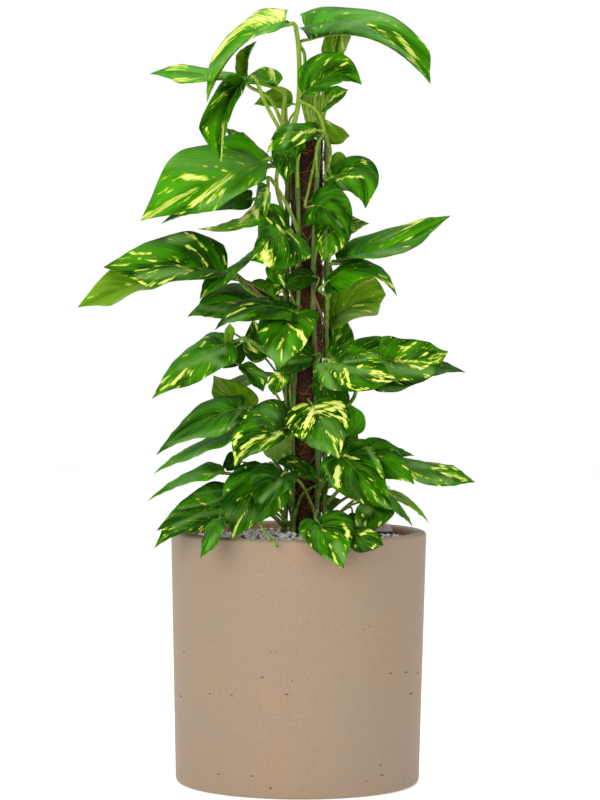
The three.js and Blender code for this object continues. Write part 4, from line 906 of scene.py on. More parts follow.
def leaf_under_material(colours):
    """Matt underside of a living leaf: paler green, with raised veins."""
    made, tree, shader = new_material(
        "matt_pothos_underside", IOR=1.22, Specular_Tint=linear("#b0dc54"), Subsurface_Weight=0.04,
        Subsurface_Radius=(0.5, 1.0, 0.1), Subsurface_Scale=0.0012,
    )
    part = leaf_pattern(tree, colours)
    green = blend(tree, part["light"], linear("#2f5c06"), linear(colours.leaf_under))
    # Painted sheen on the underside, in the same way.
    green = blend(tree, sums(tree, "MULTIPLY", part["sage"], 0.7), green, linear("#8eab6a"))
    green = blend(tree, sums(tree, "MULTIPLY", part["vein"], 0.35), green, linear("#8fb254"))
    colour = blend(tree, sums(tree, "MULTIPLY", part["gold"], 0.75), green, part["yellow"])
    colour = blend(tree, sums(tree, "MULTIPLY", part["midrib"], 0.8), colour, linear("#9dbb5c"))
    relief = sums(tree, "MULTIPLY_ADD", part["ridge"], 1.0, sums(tree, "MULTIPLY", part["midrib"], 1.4))
    relief = sums(tree, "MULTIPLY_ADD", part["quilt_relief_and_painted_light"], 1.0, relief)
    finish(tree, shader, colour, 0.55, relief, 0.0012, 0.6)
    return made


def stalk_material(colours):
    """Smooth living leaf stalk: pale green, faintly streaked lengthwise."""
    made, tree, shader = new_material(
        "smooth_green_stalk", IOR=1.35, Specular_Tint=linear("#c8e890"), Subsurface_Weight=0.1,
        Subsurface_Scale=0.002,
    )
    grain = noise(tree, stretched(tree, 2.5, 40), 1.0)
    dark = blend(tree, attribute(tree, "light"), linear("#3f6410"), linear(colours.stalk))
    colour = blend(tree, step(tree, grain, 0.42, 0.72, 0.0, 0.6), dark, linear("#b4cc6a"))
    finish(tree, shader, colour, 0.4, grain, 0.0004)
    return made


def stem_material(colours):
    """Older climbing stem: dark green skin with brownish scars at its joints."""
    made, tree, shader = new_material("green_brown_stem", IOR=1.45)
    grain = noise(tree, stretched(tree, 3.846, 33.33), 1.0, 3.0)
    scars = step(tree, noise(tree, object_place(tree), cells(16.67)), 0.55, 0.7)
    colour = blend(tree, step(tree, grain, 0.42, 0.66), linear(colours.stem), linear("#66812e"))
    colour = blend(tree, scars, colour, linear("#6a4d2c"))
    finish(tree, shader, colour, 0.5, grain, 0.0006)
    return made


def root_material():
    """Dry aerial roots and dry leaf stalks: brown and papery."""
    made, tree, shader = new_material("dry_brown_root", IOR=1.45)
    grain = noise(tree, object_place(tree), cells(3.333), 3.0)
    colour = blend(tree, grain, linear("#4a2f1a"), linear("#8a6a48"))
    finish(tree, shader, colour, 0.8, grain, 0.0006)
    return made


def stone_material(colours):
    """Cast fibre stone, matt and sandy. The grit is about 0.5 mm on the real tub; it is drawn at
    2.6 mm, about the finest that shows at this distance. The inner wall is browner: painted
    shade, the warm tone of the tub's shaded inside."""
    made, tree, shader = new_material(
        "cast_sandy_stone", IOR=1.4, Sheen_Weight=0.16, Sheen_Roughness=0.45
    )
    place = object_place(tree)
    clouds = noise(tree, place, cells(142.9), 3.0)
    grit = noise(tree, place, cells(2.632), 2.0, 0.7)
    sand = noise(tree, place, cells(1.111), 1.0)
    grey = step(tree, clouds, 0.36, 0.62, 0.0, 0.7)
    colour = blend(tree, grey, linear(colours.stone), linear(colours.stone_grey))
    colour = blend(tree, step(tree, grit, 0.5, 0.7, 0.0, 0.3), colour, linear("#7c644c"))
    colour = blend(tree, step(tree, sand, 0.52, 0.72, 0.0, 0.2), colour, linear("#cdb79c"))
    # Painted shade: inside the bore the stone takes the warm brown of the tub's shaded inner wall.
    xyz = add_node(tree, "ShaderNodeSeparateXYZ", {0: place}).outputs
    squares = sums(tree, "MULTIPLY_ADD", xyz[0], xyz[0], sums(tree, "MULTIPLY", xyz[1], xyz[1]))
    bore = (PLANTER["top"] - PLANTER["wall"]) * MM
    inside = step(tree, sums(tree, "SQRT", squares), bore - MM, bore + 2 * MM, 0.85, 0.0)
    colour = blend(tree, inside, colour, linear("#a47c5c"))
    finish(tree, shader, colour, 0.86, grit, 0.0005, 0.35)
    return made


def pebble_material():
    """Washed mineral granules: white, grey, tan and brown stones with a dry, rough skin."""
    made, tree, shader = new_material("washed_mineral_pebbles", IOR=1.5)
    ramp = add_node(tree, "ShaderNodeValToRGB", {0: attribute(tree, "shade")})
    ramp.color_ramp.interpolation = "CONSTANT"
    stops = (
        (0.0, "#f4f6fa"), (0.3, "#ffffff"), (0.55, "#b8afab"), (0.66, "#e6c8b6"), (0.82, "#9c6c55"),
        (0.92, "#4a3930"),
    )
    ramp.color_ramp.elements[1].position = stops[1][0]
    for i, (position, tone) in enumerate(stops):
        element = ramp.color_ramp.elements[i] if i < 2 else ramp.color_ramp.elements.new(position)
        element.color = linear(tone)
    grain = noise(tree, object_place(tree), cells(2), 3.0)
    dust = step(tree, grain, 0.5, 0.75, 0.0, 0.25)
    colour = blend(tree, dust, ramp.outputs[0], linear("#8d8580"))
    finish(tree, shader, colour, 0.8, grain, 0.0006)
    return made


def coir_material(colours):
    """Coconut fibre felt: dark brown strands, each drawn about 1 mm thick so that it shows."""
    made, tree, shader = new_material("coconut_fibre", IOR=1.45)
    turned = {0: object_place(tree), 2: (0.5, 0.2, 0.3), 3: (cells(2.381), cells(2.381), cells(6.667))}
    place = add_node(tree, "ShaderNodeMapping", turned).outputs[0]
    strands = noise(tree, place, 1.0, 3.0, 0.6)
    shade = sums(tree, "MULTIPLY_ADD", attribute(tree, "shade"), 0.6, sums(tree, "MULTIPLY", strands, 0.6))
    colour = blend(tree, step(tree, shade, 0.3, 0.85), linear("#2b1505"), linear(colours.coir))
    colour = blend(tree, step(tree, shade, 0.72, 1.0), colour, linear("#b0703a"))
    finish(tree, shader, colour, 0.92, strands, 0.0015, 0.9)
    return made


def plain_plastic(name, colour, roughness, **plain):
    """Injection-moulded plastic with the faint unevenness of its tool."""
    made, tree, shader = new_material(name, IOR=1.49, **plain)
    grain = noise(tree, object_place(tree), cells(2.5))
    shade = blend(tree, step(tree, grain, 0.3, 0.7, 0.0, 0.12), linear(colour), linear("#8b8b90"))
    finish(tree, shader, shade, roughness, grain, 0.00008)
    return made


class Bundle:
    """Gathers meshes, in millimetres, that become one piece."""

    def __init__(self):
        self.points = []
        self.faces = []
        self.slots = []
        self.values = {}
        self.count = 0

    def add(self, points, groups, slots=0, **values):
        """Adds points and groups of faces; slots is one material slot, or one for each group."""
        for name, value in values.items():
            width = 2 if name == "uv" else 1
            rows = np.asarray(value, float).reshape(-1, width)
            rows = np.broadcast_to(rows, (len(points), width))
            self.values.setdefault(name, []).append((self.count, rows))
        for group, slot in zip(groups, np.broadcast_to(slots, len(groups))):
            self.faces.extend((group + self.count).tolist())
            self.slots.extend([int(slot)] * len(group))
        self.points.append(points)
        self.count += len(points)

    def piece(self, name, materials, smooth=True):
        """The gathered meshes as one object."""
        mesh = bpy.data.meshes.new(name)
        mesh.from_pydata((np.concatenate(self.points) * MM).tolist(), [], self.faces)
        mesh.polygons.foreach_set("material_index", self.slots)
        mesh.polygons.foreach_set("use_smooth", [smooth] * len(mesh.polygons))
        for key, chunks in self.values.items():
            width = chunks[0][1].shape[1]
            table = np.zeros((self.count, width))
            for start, rows in chunks:
                table[start : start + len(rows)] = rows
            if key == "uv":
                corners = np.empty(len(mesh.loops), int)
                mesh.loops.foreach_get("vertex_index", corners)
                mesh.uv_layers.new(name="Blade").data.foreach_set("uv", table[corners].ravel())
            else:
                mesh.attributes.new(key, "FLOAT", "POINT").data.foreach_set("value", table.ravel())
        for material in materials:
            mesh.materials.append(material)
        made = bpy.data.objects.new(name, mesh)
        bpy.context.collection.objects.link(made)
        return made


def unit(vectors):
    """Vectors at length 1."""
    return vectors / np.maximum(np.linalg.norm(vectors, axis=-1, keepdims=True), 1e-9)


def placed(reading):
    """A reading on the upright plane, carried along the line of sight to its own depth."""
    x, z, y = reading
    scale = (y - EYE[1]) / -EYE[1]
    return np.array([EYE[0] + (x - EYE[0]) * scale, y, EYE[2] + (z - EYE[2]) * scale])


def seen_from_front(points):
    """Where points appear on the upright plane, as x and z."""
    scale = (points[:, 1] - EYE[1]) / -EYE[1]
    return EYE[0] + (points[:, 0] - EYE[0]) / scale, EYE[2] + (points[:, 2] - EYE[2]) / scale


def outline_at(share):
    """Places on the blade's outline, by a smooth curve through its points."""
    last = len(OUTLINE) - 1
    place = np.minimum(np.asarray(share) * last, last - 1e-9)
    i = np.floor(place).astype(int)
    t = (place - i)[:, None]
    a, b, c, d = (OUTLINE[np.clip(i + k, 0, last)] for k in (-1, 0, 1, 2))
    return b + 0.5 * t * (c - a + t * (2 * a - 5 * b + 4 * c - d + t * (3 * (b - c) + d - a)))


class Leaf:
    """One leaf's place in space: its midrib and, on each side, two vectors to its edge."""

    def __init__(self, row, turn):
        self.vine, self.lobes = row[0], row[1]
        base, middle, tip = (placed(reading) for reading in row[2:5])
        self.base, self.tip = base, tip
        self.pull = 2 * middle - 0.5 * base - 0.5 * tip
        steps = self.at(np.linspace(0, 1, 200))
        self.length = np.linalg.norm(np.diff(steps, axis=0), axis=1).sum()
        self.phase = math.fmod(row[2][0] * 7 + row[2][1] * 3, 6.28)
        self.sides = [self.edges(*row[5 + 2 * side : 7 + 2 * side]) for side in range(2)]
        up = self.up(np.array([EDGE["broadest"]]))[0]
        if up[2] - up[1] * turn < 0:
            self.sides.reverse()

    def edges(self, broad, narrow):
        """The vectors to one edge from its two readings, both turned to the broadest place."""
        near, far = EDGE["broadest"], EDGE["narrower"]
        half = EDGE["half_width"] * self.length
        second = self.reach(far, narrow, half * EDGE["narrowing"]) / EDGE["narrowing"]
        return self.reach(near, broad, half), self.carried(second, far, near)

    def at(self, along):
        """Points on the midrib."""
        t = np.asarray(along, float)[:, None]
        return (1 - t) ** 2 * self.base + 2 * t * (1 - t) * self.pull + t * t * self.tip

    def heading(self, along):
        """The way the midrib runs, as unit vectors."""
        t = np.asarray(along, float)[:, None]
        return unit((1 - t) * (self.pull - self.base) + t * (self.tip - self.pull))

    def reach(self, along, reading, half):
        """An edge reading gives how far the edge seems to reach; the rest goes into depth."""
        centre = self.at(np.array([along]))[0]
        side = placed([reading[0], reading[1], centre[1]]) - centre
        side[1] = reading[2] * math.sqrt(max(0.0, half**2 - side @ side))
        return side

    def carried(self, vectors, start, to):
        """Vectors at one place of the midrib turned as the midrib turns up to another."""
        a = self.heading(np.atleast_1d(start))
        b = self.heading(np.atleast_1d(to))
        axis = np.cross(a, b)
        fall = 1 + (a * b).sum(axis=-1, keepdims=True)
        turned = vectors + np.cross(axis, vectors) + np.cross(axis, np.cross(axis, vectors)) / fall
        return turned if np.ndim(vectors) > 1 or len(turned) > 1 else turned[0]

    def side(self, along, side):
        """Vectors from the midrib to the edge, were the blade as broad as at its broadest."""
        inside = np.maximum(along, 0)
        near, far = EDGE["broadest"], EDGE["narrower"]
        share = np.clip((along - near) / (far - near), 0, 1)[:, None] ** EDGE["ease"]
        first, second = self.sides[side]
        return self.carried(first + (second - first) * share, near, inside)

    def up(self, along):
        """The way the blade's upper face looks."""
        across = self.side(along, 0) - self.side(along, 1)
        return unit(np.cross(self.heading(np.maximum(along, 0)), across))

    def blade(self, along, across, side, share, reach):
        """Points of the blade, with the fine relief of its veins and its ruffled edge."""
        inside = np.maximum(along, 0)
        behind = ((along - inside) * self.length * self.lobes)[:, None]
        point = self.at(inside) + self.heading(inside) * behind
        point = point + self.side(along, side) * across[:, None]
        hump = 4 * across * (1 - across)
        swell = BLADE["cup"] * hump * EDGE["half_width"]
        wave = BLADE["wave"] * across**2 * np.sin(9 * along + self.phase + 2.4 * side)
        ruffle = RELIEF["ruffle"] * across**3 * np.sin(21 * along + 2.1 * self.phase + 1.3 * side)
        rib = 2 * math.pi * VEINS * (share - SLANT * reach)
        quilt = (RELIEF["quilt"] * np.cos(rib) + RELIEF["ripple"] * np.cos(2 * rib)) * hump
        groove = -RELIEF["groove"] * np.exp(-((across / RELIEF["groove_width"]) ** 2)) * (1 - share)
        lift = (swell + wave + ruffle) * self.length + quilt + groove
        return point + self.up(along) * lift[:, None]


def blade_sheet(leaf, rows, columns):
    """The blade's middle surface: rows run from the midrib along the side veins to the edge."""
    share = np.arange(rows) / rows
    root = share ** SHEET["rows"]
    edge = outline_at(SHEET["start"] + (1 - SHEET["start"]) * share)
    s = (np.arange(columns + 1) / columns) ** SHEET["columns"]
    points, uv = [], []
    index = np.zeros((2, rows, columns + 1), int)
    count = 0
    for side in range(2):
        first = 0 if side == 0 else 1
        for column in range(first, columns + 1):
            along = root + (edge[:, 0] - root) * s[column]
            across = edge[:, 1] * s[column]
            points.append(leaf.blade(along, across, side, share, s[column]))
            uv.append(np.stack([share, np.full(rows, s[column] * (1 - 2 * side))], -1))
            index[side, :, column] = count + np.arange(rows)
            count += rows
    index[1, :, 0] = index[0, :, 0]
    points.append(leaf.blade(np.array([1.0]), np.array([0.0]), 0, np.array([1.0]), 0.0))
    uv.append(np.array([[1.0, 0.0]]))
    quads, corners = [], []
    for side in range(2):
        grid = index[side]
        faces = np.stack([grid[:-1, :-1], grid[1:, :-1], grid[1:, 1:], grid[:-1, 1:]], -1)
        faces = faces.reshape(-1, 4)
        end = np.stack([grid[-1, :-1], np.full(columns, count), grid[-1, 1:]], -1)
        quads.append(faces if side == 0 else faces[:, ::-1])
        corners.append(end if side == 0 else end[:, ::-1])
    return np.concatenate(points), np.concatenate(uv), np.concatenate(quads), np.concatenate(corners)


def sheet_normals(points, quads, corners):
    """A unit normal at each point, from the faces that meet there."""
    normals = np.zeros_like(points)
    for faces, (a, b, c, d) in ((quads, (0, 2, 1, 3)), (corners, (0, 1, 0, 2))):
        first = points[faces[:, b]] - points[faces[:, a]]
        second = points[faces[:, d]] - points[faces[:, c]]
        for k in range(faces.shape[1]):
            np.add.at(normals, faces[:, k], np.cross(first, second))
    return unit(normals)


def open_edges(faces, count):
    """The directed edges that no neighbouring face shares."""
    starts = np.concatenate([group.ravel() for group in faces])
    ends = np.concatenate([np.roll(group, -1, axis=1).ravel() for group in faces])
    keys = starts * count + ends
    shared = np.isin(keys, ends * count + starts)
    return [(start, end) for start, end, known in zip(starts, ends, shared) if not known]


def stroked(seen, strokes, usual):
    """How strongly each point lies in strokes read from the front; the strongest one counts."""
    x = (seen[0] - EYE[0]) / PHOTO["mm"] + PHOTO["middle"]
    y = (PHOTO["level"] - seen[1]) / PHOTO["mm"]
    total = np.zeros(len(x))
    for x1, y1, x2, y2, wide, *own in strokes:
        across, down = x2 - x1, y2 - y1
        t = ((x - x1) * across + (y - y1) * down) / max(across**2 + down**2, 1e-6)
        t = np.clip(t, 0, 1)
        away = np.hypot(x - x1 - t * across, y - y1 - t * down) / max(wide, STROKE["least"])
        total = np.maximum(total, (own[0] if own else usual) * np.exp(-(away**3)))
    return total


def leaf_seed(leaf):
    """A number from 0 to 1 that sets one leaf's pattern apart from another's."""
    return math.fmod(abs(math.sin(leaf.base[0] * 12.9 + leaf.base[2] * 78.2)) * 43.7, 1.0)


def leaf_colours(number, seen):
    """A leaf's share of yellow, of painted sheen and of fresh green at each of its points; dark strokes
    paint shade into the green.
    """
    gold = YELLOW.get(number, TONE["yellow"])
    gold = gold + stroked(seen, YELLOW_STROKES.get(number, []), STROKE["yellow"])
    sage = stroked(seen, PAINTED_SHEEN_STROKES.get(number, []), STROKE["sage"])
    light = TONE["gain"] * LIGHTNESS.get(number, TONE["lightness"]) - TONE["less"]
    light = light - stroked(seen, DARK_STROKES.get(number, []), STROKE["dark"])
    return gold, sage, light


def add_blade(bundle, leaf, number, sizes, upper, under):
    """Adds a leaf's blade: both faces and the thin wall of its margin."""
    finer = 1 if leaf.length > BLADE["small"] else SHEET["small"]
    rows, columns = round(sizes.rows * finer), round(sizes.columns * finer)
    points, uv, quads, corners = blade_sheet(leaf, rows, columns)
    normals = sheet_normals(points, quads, corners)
    thin = 0.5 * BLADE["thickness"] * (1 - BLADE["margin"] * np.abs(uv[:, 1:]) ** 6)
    count = len(points)
    loose = open_edges([quads, corners], count)
    rim = np.array([(b, a, a + count, b + count) for a, b in loose])
    gold, sage, light = leaf_colours(number, seen_from_front(points))
    shell = np.concatenate([points + normals * thin, points - normals * thin])
    groups = [quads, corners, quads[:, ::-1] + count, corners[:, ::-1] + count, rim]
    bundle.add(
        shell, groups, [upper, upper, under, under, under], uv=np.concatenate([uv, uv]),
        gold=np.tile(gold, 2), sage=np.tile(sage, 2), light=np.tile(light, 2), seed=leaf_seed(leaf),
    )


def curve_through(points, count):
    """Evenly spaced places on a smooth curve through points (centripetal, as in the source)."""
    points = [np.asarray(p, float) for p in points]
    ends = [2 * points[0] - points[1], *points, 2 * points[-1] - points[-2]]
    t = np.linspace(0, 1, 24, endpoint=False)[:, None]
    dense = []
    for p0, p1, p2, p3 in zip(ends, ends[1:], ends[2:], ends[3:]):
        spans = ((p0, p1), (p1, p2), (p2, p3))
        d0, d1, d2 = (max(np.linalg.norm(b - a) ** 0.5, 1e-3) for a, b in spans)
        m1 = ((p1 - p0) / d0 - (p2 - p0) / (d0 + d1) + (p2 - p1) / d1) * d1
        m2 = ((p2 - p1) / d1 - (p3 - p1) / (d1 + d2) + (p3 - p2) / d2) * d1
        square, cube = 3 * (p2 - p1) - 2 * m1 - m2, 2 * (p1 - p2) + m1 + m2
        dense.append(p1 + t * m1 + t * t * square + t**3 * cube)
    dense = np.concatenate([*dense, points[-1][None]])
    run = np.concatenate([[0], np.cumsum(np.linalg.norm(np.diff(dense, axis=0), axis=1))])
    places = np.linspace(0, run[-1], count)
    return np.stack([np.interp(places, run, dense[:, k]) for k in range(3)], -1)


def tube(path, radii, sides):
    """A round tube along a path, its ends closed."""
    count = len(path)
    heading = unit(np.gradient(path, axis=0))
    normal = unit(np.cross(heading[0], [0.31, 0.92, 0.23]))
    rings = []
    angles = np.arange(sides) * 2 * math.pi / sides
    for centre, ahead, radius in zip(path, heading, np.broadcast_to(radii, count)):
        normal = unit(normal - ahead * (normal @ ahead))
        other = np.cross(ahead, normal)
        around = np.cos(angles)[:, None] * normal + np.sin(angles)[:, None] * other
        rings.append(centre + radius * around)
    points = np.concatenate([*rings, path[:1], path[-1:]])
    grid = np.arange(count * sides).reshape(count, sides)
    following = np.roll(grid, -1, axis=1)
    quads = np.stack([grid[:-1], following[:-1], following[1:], grid[1:]], -1).reshape(-1, 4)
    start = np.stack([following[0], grid[0], np.full(sides, count * sides)], -1)
    end = np.stack([grid[-1], following[-1], np.full(sides, count * sides + 1)], -1)
    return points, [quads, start, end]


def vine_point(name, z):
    """A point on a vine's centre line, which hugs the pole, swings a little and spreads at its foot."""
    angle = VINES[name][0]
    swing = SWING["angle"] * math.sin(z / SWING["height"] + angle)
    low = max(0.0, 1 - (z - VINE["foot"]) / VINE["flare"])
    reach = POLE["outer"] + VINE["radius"] + VINE["clear"] + VINE["spread"] * low * low
    lean = LEAN["share"] * max(0.0, z - POLE["top"])
    turn = math.radians(angle) + swing
    r = reach - min(lean, LEAN["most"])
    return np.array([POLE["x"] + r * math.cos(turn), r * math.sin(turn), z])


def stalk_path(row, leaf):
    """A stalk's way from its vine to its blade: past its row's points, or in one arch."""
    base, into = leaf.base, leaf.heading(np.array([0.0]))[0]
    shown = row[9] if len(row) > 9 else None
    height = shown[0] if shown else base[2] - STALK["rise"]
    highest = VINES[leaf.vine][1] - STALK["below_top"]
    start = vine_point(leaf.vine, min(max(height, STALK["lowest"]), highest))
    lift = STALK["lift"] * np.linalg.norm(base - start)
    arch = start + (base - start) * STALK["arch"] + np.array([0, 0, lift])
    between = [placed(reading) for reading in shown[1:]] if shown else [arch]
    bend = base - into * min(lift, STALK["bend"])
    end = leaf.at(np.array([STALK["end"]]))[0]
    return curve_through([start, *between, bend, base, end], STALK["points"])


def usual_stalk(leaf):
    """The radius and paleness of a stalk that doesn't stand out."""
    usual = USUAL_STALK
    risen = min(max((leaf.base[2] - usual["pale_from"]) / usual["pale_over"], 0), 1)
    pale = usual["pale"] * risen + usual["chance"] * ((leaf.phase * 7) % 1)
    return STALK["radius"] * (usual["thin"] + usual["thicker"] * leaf.length), pale


def add_stalk(bundle, number, row, leaf, slot):
    """Adds a leaf's stalk, and the raised midrib that carries it on under the blade."""
    thick, light = STOUT.get(number, usual_stalk(leaf))
    t = np.linspace(0, 1, STALK["points"])
    collar = STALK["collar"] * np.exp(-((t / STALK["collar_share"]) ** 2))
    radii = thick * (1 - STALK["taper"] * t) + collar
    bundle.add(*tube(stalk_path(row, leaf), radii, STALK["sides"]), slot, light=light)
    along = np.linspace(0.0, MIDRIB["end"], MIDRIB["points"])
    below = MIDRIB["depth"] + MIDRIB["deeper"] * (1 - along)
    under = leaf.at(along) - leaf.up(along) * below[:, None]
    radii = MIDRIB["radius"] * (1 - along) + MIDRIB["least"]
    bundle.add(*tube(under, radii, MIDRIB["sides"]), slot, light=light)


def root_path(name, z, rng):
    """An aerial root's way from its joint round the pole."""
    start = vine_point(name, z)
    out = math.atan2(start[1], start[0] - POLE["x"])
    sign = rng.choice([-1, 1])
    way = []
    for k in range(ROOT["steps"]):
        turn = out + sign * (ROOT["turn"] * k + rng.uniform(-ROOT["turn_by"], ROOT["turn_by"]))
        r = POLE["outer"] + (VINE["clear"] + 1) * max(0, 1 - k / 2) + 1.0
        level = z - ROOT["drop"] * k + rng.uniform(-ROOT["drop_by"], ROOT["drop_by"])
        way.append([POLE["x"] + r * math.cos(turn), r * math.sin(turn), level])
    return curve_through([start, *way], ROOT["points"])


def add_stem(bundle, name, rng, stem, root):
    """Adds a vine's stem with its swollen joints, and the aerial roots that grow from them."""
    angle, top = VINES[name]
    heights = np.arange(VINE["foot"], top + 1, float(VINE["step"]))
    path = np.array([vine_point(name, z) for z in heights])
    apart, half = JOINT["apart"], JOINT["apart"] / 2
    wave = np.abs((heights + angle % apart) % apart - half) / half
    swell = JOINT["swell"] * np.exp(-(((1 - wave) * half / JOINT["half_width"]) ** 2))
    bundle.add(*tube(path, VINE["radius"] - JOINT["thinner"] + swell, VINE["sides"]), stem)
    radii = np.linspace(*ROOT["radii"], ROOT["points"])
    for z in heights[(wave > 0.92) & (heights >= ROOT["lowest"])]:
        for _ in range(2):
            bundle.add(*tube(root_path(name, z, rng), radii, ROOT["sides"]), root)


def far_row(name, degrees, height, length, drop):
    """A far leaf in the form of the other rows, flat across its midrib."""
    angle = math.radians(degrees)

    def out(share, sag):
        reach = FAR["reach"] + share * length
        return [POLE["x"] + reach * math.cos(angle), height - sag * drop, reach * math.sin(angle)]

    def edge(sign, share, narrow):
        x, z, _ = out(share, share * share)
        side = sign * EDGE["half_width"] * length * narrow
        return [x + side * math.sin(angle), z, -math.copysign(1, side * math.cos(angle))]

    places = ((EDGE["broadest"], 1), (EDGE["narrower"], EDGE["narrowing"]))
    edges = [edge(sign, *place) for sign in (1, -1) for place in places]
    return [name, FAR["lobes"], out(0, 0), out(0.55, FAR["sag"]), out(FAR["span"], 1), *edges]


def deselect():
    """Clears the selection, as each new piece needs."""
    bpy.ops.object.select_all(action="DESELECT")


def settle(piece, material_slot, *nodes):
    """Ties a piece to the frame: it rides on the root and stands for its nodes."""
    if not piece.data.polygons:
        raise RuntimeError(f"{piece.name} has no faces")
    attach(piece, "root")
    if nodes:
        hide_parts(*nodes)


def select_faces(piece, test):
    """Selects, in edit mode, the faces whose centre and normal pass a test."""
    bpy.ops.object.mode_set(mode="EDIT")
    bpy.ops.mesh.select_mode(type="FACE")
    bpy.ops.mesh.select_all(action="DESELECT")
    bpy.ops.object.mode_set(mode="OBJECT")
    for polygon in piece.data.polygons:
        polygon.select = test(polygon.center, polygon.normal)
    bpy.ops.object.mode_set(mode="EDIT")


def select_ring(piece, height, radius, slack=0.002):
    """Selects, in edit mode, the edges of one level ring."""
    bpy.ops.object.mode_set(mode="EDIT")
    bpy.ops.mesh.select_mode(type="EDGE")
    bpy.ops.mesh.select_all(action="DESELECT")
    bpy.ops.object.mode_set(mode="OBJECT")
    points = piece.data.vertices

    def on_ring(point):
        return abs(point.z - height) < slack and abs(point.xy.length - radius) < slack

    for edge in piece.data.edges:
        edge.select = all(on_ring(points[i].co) for i in edge.vertices)
    bpy.ops.object.mode_set(mode="EDIT")


def outer_radius(z):
    """The planter's outer radius at a height."""
    return PLANTER["foot"] + (PLANTER["top"] - PLANTER["foot"]) * z / PLANTER["height"]


class PothosPlanter(bpy.types.Operator):
    """Makes the round planter: a tapered tub with a rounded rim and foot, and small casting pits"""

    bl_idname = "pothos.planter"
    bl_label = "Planter"

    def execute(self, context):
        sizes = context.scene.pothos_sizes
        height, foot, top = PLANTER["height"] * MM, PLANTER["foot"] * MM, PLANTER["top"] * MM
        wall, floor = PLANTER["wall"] * MM, PLANTER["floor"] * MM
        deselect()
        bpy.ops.mesh.primitive_cylinder_add(
            vertices=sizes.planter_sides, radius=foot, depth=height, end_fill_type="NGON",
            location=(0, 0, height / 2),
        )
        tub = context.object
        bpy.ops.object.transform_apply(location=True, rotation=False, scale=False)
        select_faces(tub, lambda centre, normal: normal.z > 0.9)
        bpy.ops.transform.resize(value=(top / foot, top / foot, 1))
        bpy.ops.mesh.inset(thickness=wall, use_even_offset=True)
        inner = (outer_radius(PLANTER["floor"]) - PLANTER["wall"]) * MM
        bpy.ops.mesh.extrude_region_move(TRANSFORM_OT_translate={"value": (0, 0, floor - height)})
        bpy.ops.transform.resize(value=(inner / (top - wall), inner / (top - wall), 1))
        rim, heel = PLANTER["rim"], PLANTER["heel"]
        rings = ((height, top, rim), (height, top - wall, rim), (0, foot, heel))
        for level, radius, round_by in rings:
            select_ring(tub, level, radius)
            bpy.ops.mesh.bevel(offset=round_by * MM, segments=6, affect="EDGES")
        bpy.ops.object.mode_set(mode="OBJECT")
        bpy.ops.object.shade_smooth_by_angle(angle=math.radians(35))
        tub.name = "stone_planter"
        tub.data.materials.append(stone_material(context.scene.pothos_colours))
        settle(tub, "planter", "planter")
        self.pits()
        return {"FINISHED"}

    def pits(self):
        """The casting pits, as painted shadow: shallow dark spots, each a flat oval that lies on the face.
        """
        bundle = Bundle()
        count = PIT["corners"]
        angles = np.arange(count) * 2 * math.pi / count
        rim = np.arange(count)
        after = (rim + 1) % count
        front = np.stack([rim, after, np.full(count, 2 * count)], -1)
        sides = np.stack([rim + count, after + count, after, rim], -1)
        for x, z, wide, high in PITS:
            x, _, z = placed([x, z, -math.sqrt(outer_radius(z) ** 2 - x * x)])
            radius = outer_radius(z) + PIT["proud"]
            turns = np.arcsin(np.clip((x + 0.5 * wide * np.cos(angles)) / radius, -1, 1))
            level = z + 0.5 * high * np.sin(angles)
            ring = np.stack([radius * np.sin(turns), -radius * np.cos(turns), level], -1)
            back = ring * [PIT["back"], PIT["back"], 1]
            points = np.concatenate([ring, back, ring.mean(axis=0)[None]])
            bundle.add(points, [front, sides])
        # Painted shadow: the dark browns stand for the shade in a pit's hollow.
        made, tree, shader = new_material("pitted_stone_shadow")
        grain = noise(tree, object_place(tree), cells(2))
        colour = blend(tree, grain, linear("#3c3024"), linear("#6e5a46"))
        finish(tree, shader, colour, 0.95, grain)
        pits = bundle.piece("planter_pits", [made])
        settle(pits, "planter")


def fill_height(r):
    """The height of the fill at a distance from the planter's axis: it mounds to the middle."""
    edge = outer_radius(FILL["edge"]) - PLANTER["wall"]
    swell = 0.5 + 0.5 * math.cos(math.pi * r / edge)
    return FILL["edge"] + (FILL["crown"] - FILL["edge"]) * swell


def pebble(rng, shape, mean):
    """A pebble at a random place on the fill: its points about its centre, the centre, its size."""
    edge = outer_radius(FILL["edge"]) - PLANTER["wall"]
    r = (edge - PEBBLE["margin"]) * math.sqrt(rng.uniform(0.0, 1))
    angle = rng.uniform(0, 2 * math.pi)
    size = mean * rng.uniform(*PEBBLE["sizes"])
    z = fill_height(r) + rng.uniform(*PEBBLE["level"])
    turn = np.array(Euler(rng.uniform(0, 6.28, 3)).to_matrix())
    stone = shape * (1 + rng.uniform(-PEBBLE["uneven"], PEBBLE["uneven"], (len(shape), 1)))
    stretch = [rng.uniform(low, high) for low, high in PEBBLE["stretch"]]
    centre = np.array([r * math.cos(angle), r * math.sin(angle), z])
    return stone * size * stretch @ turn.T, centre, size


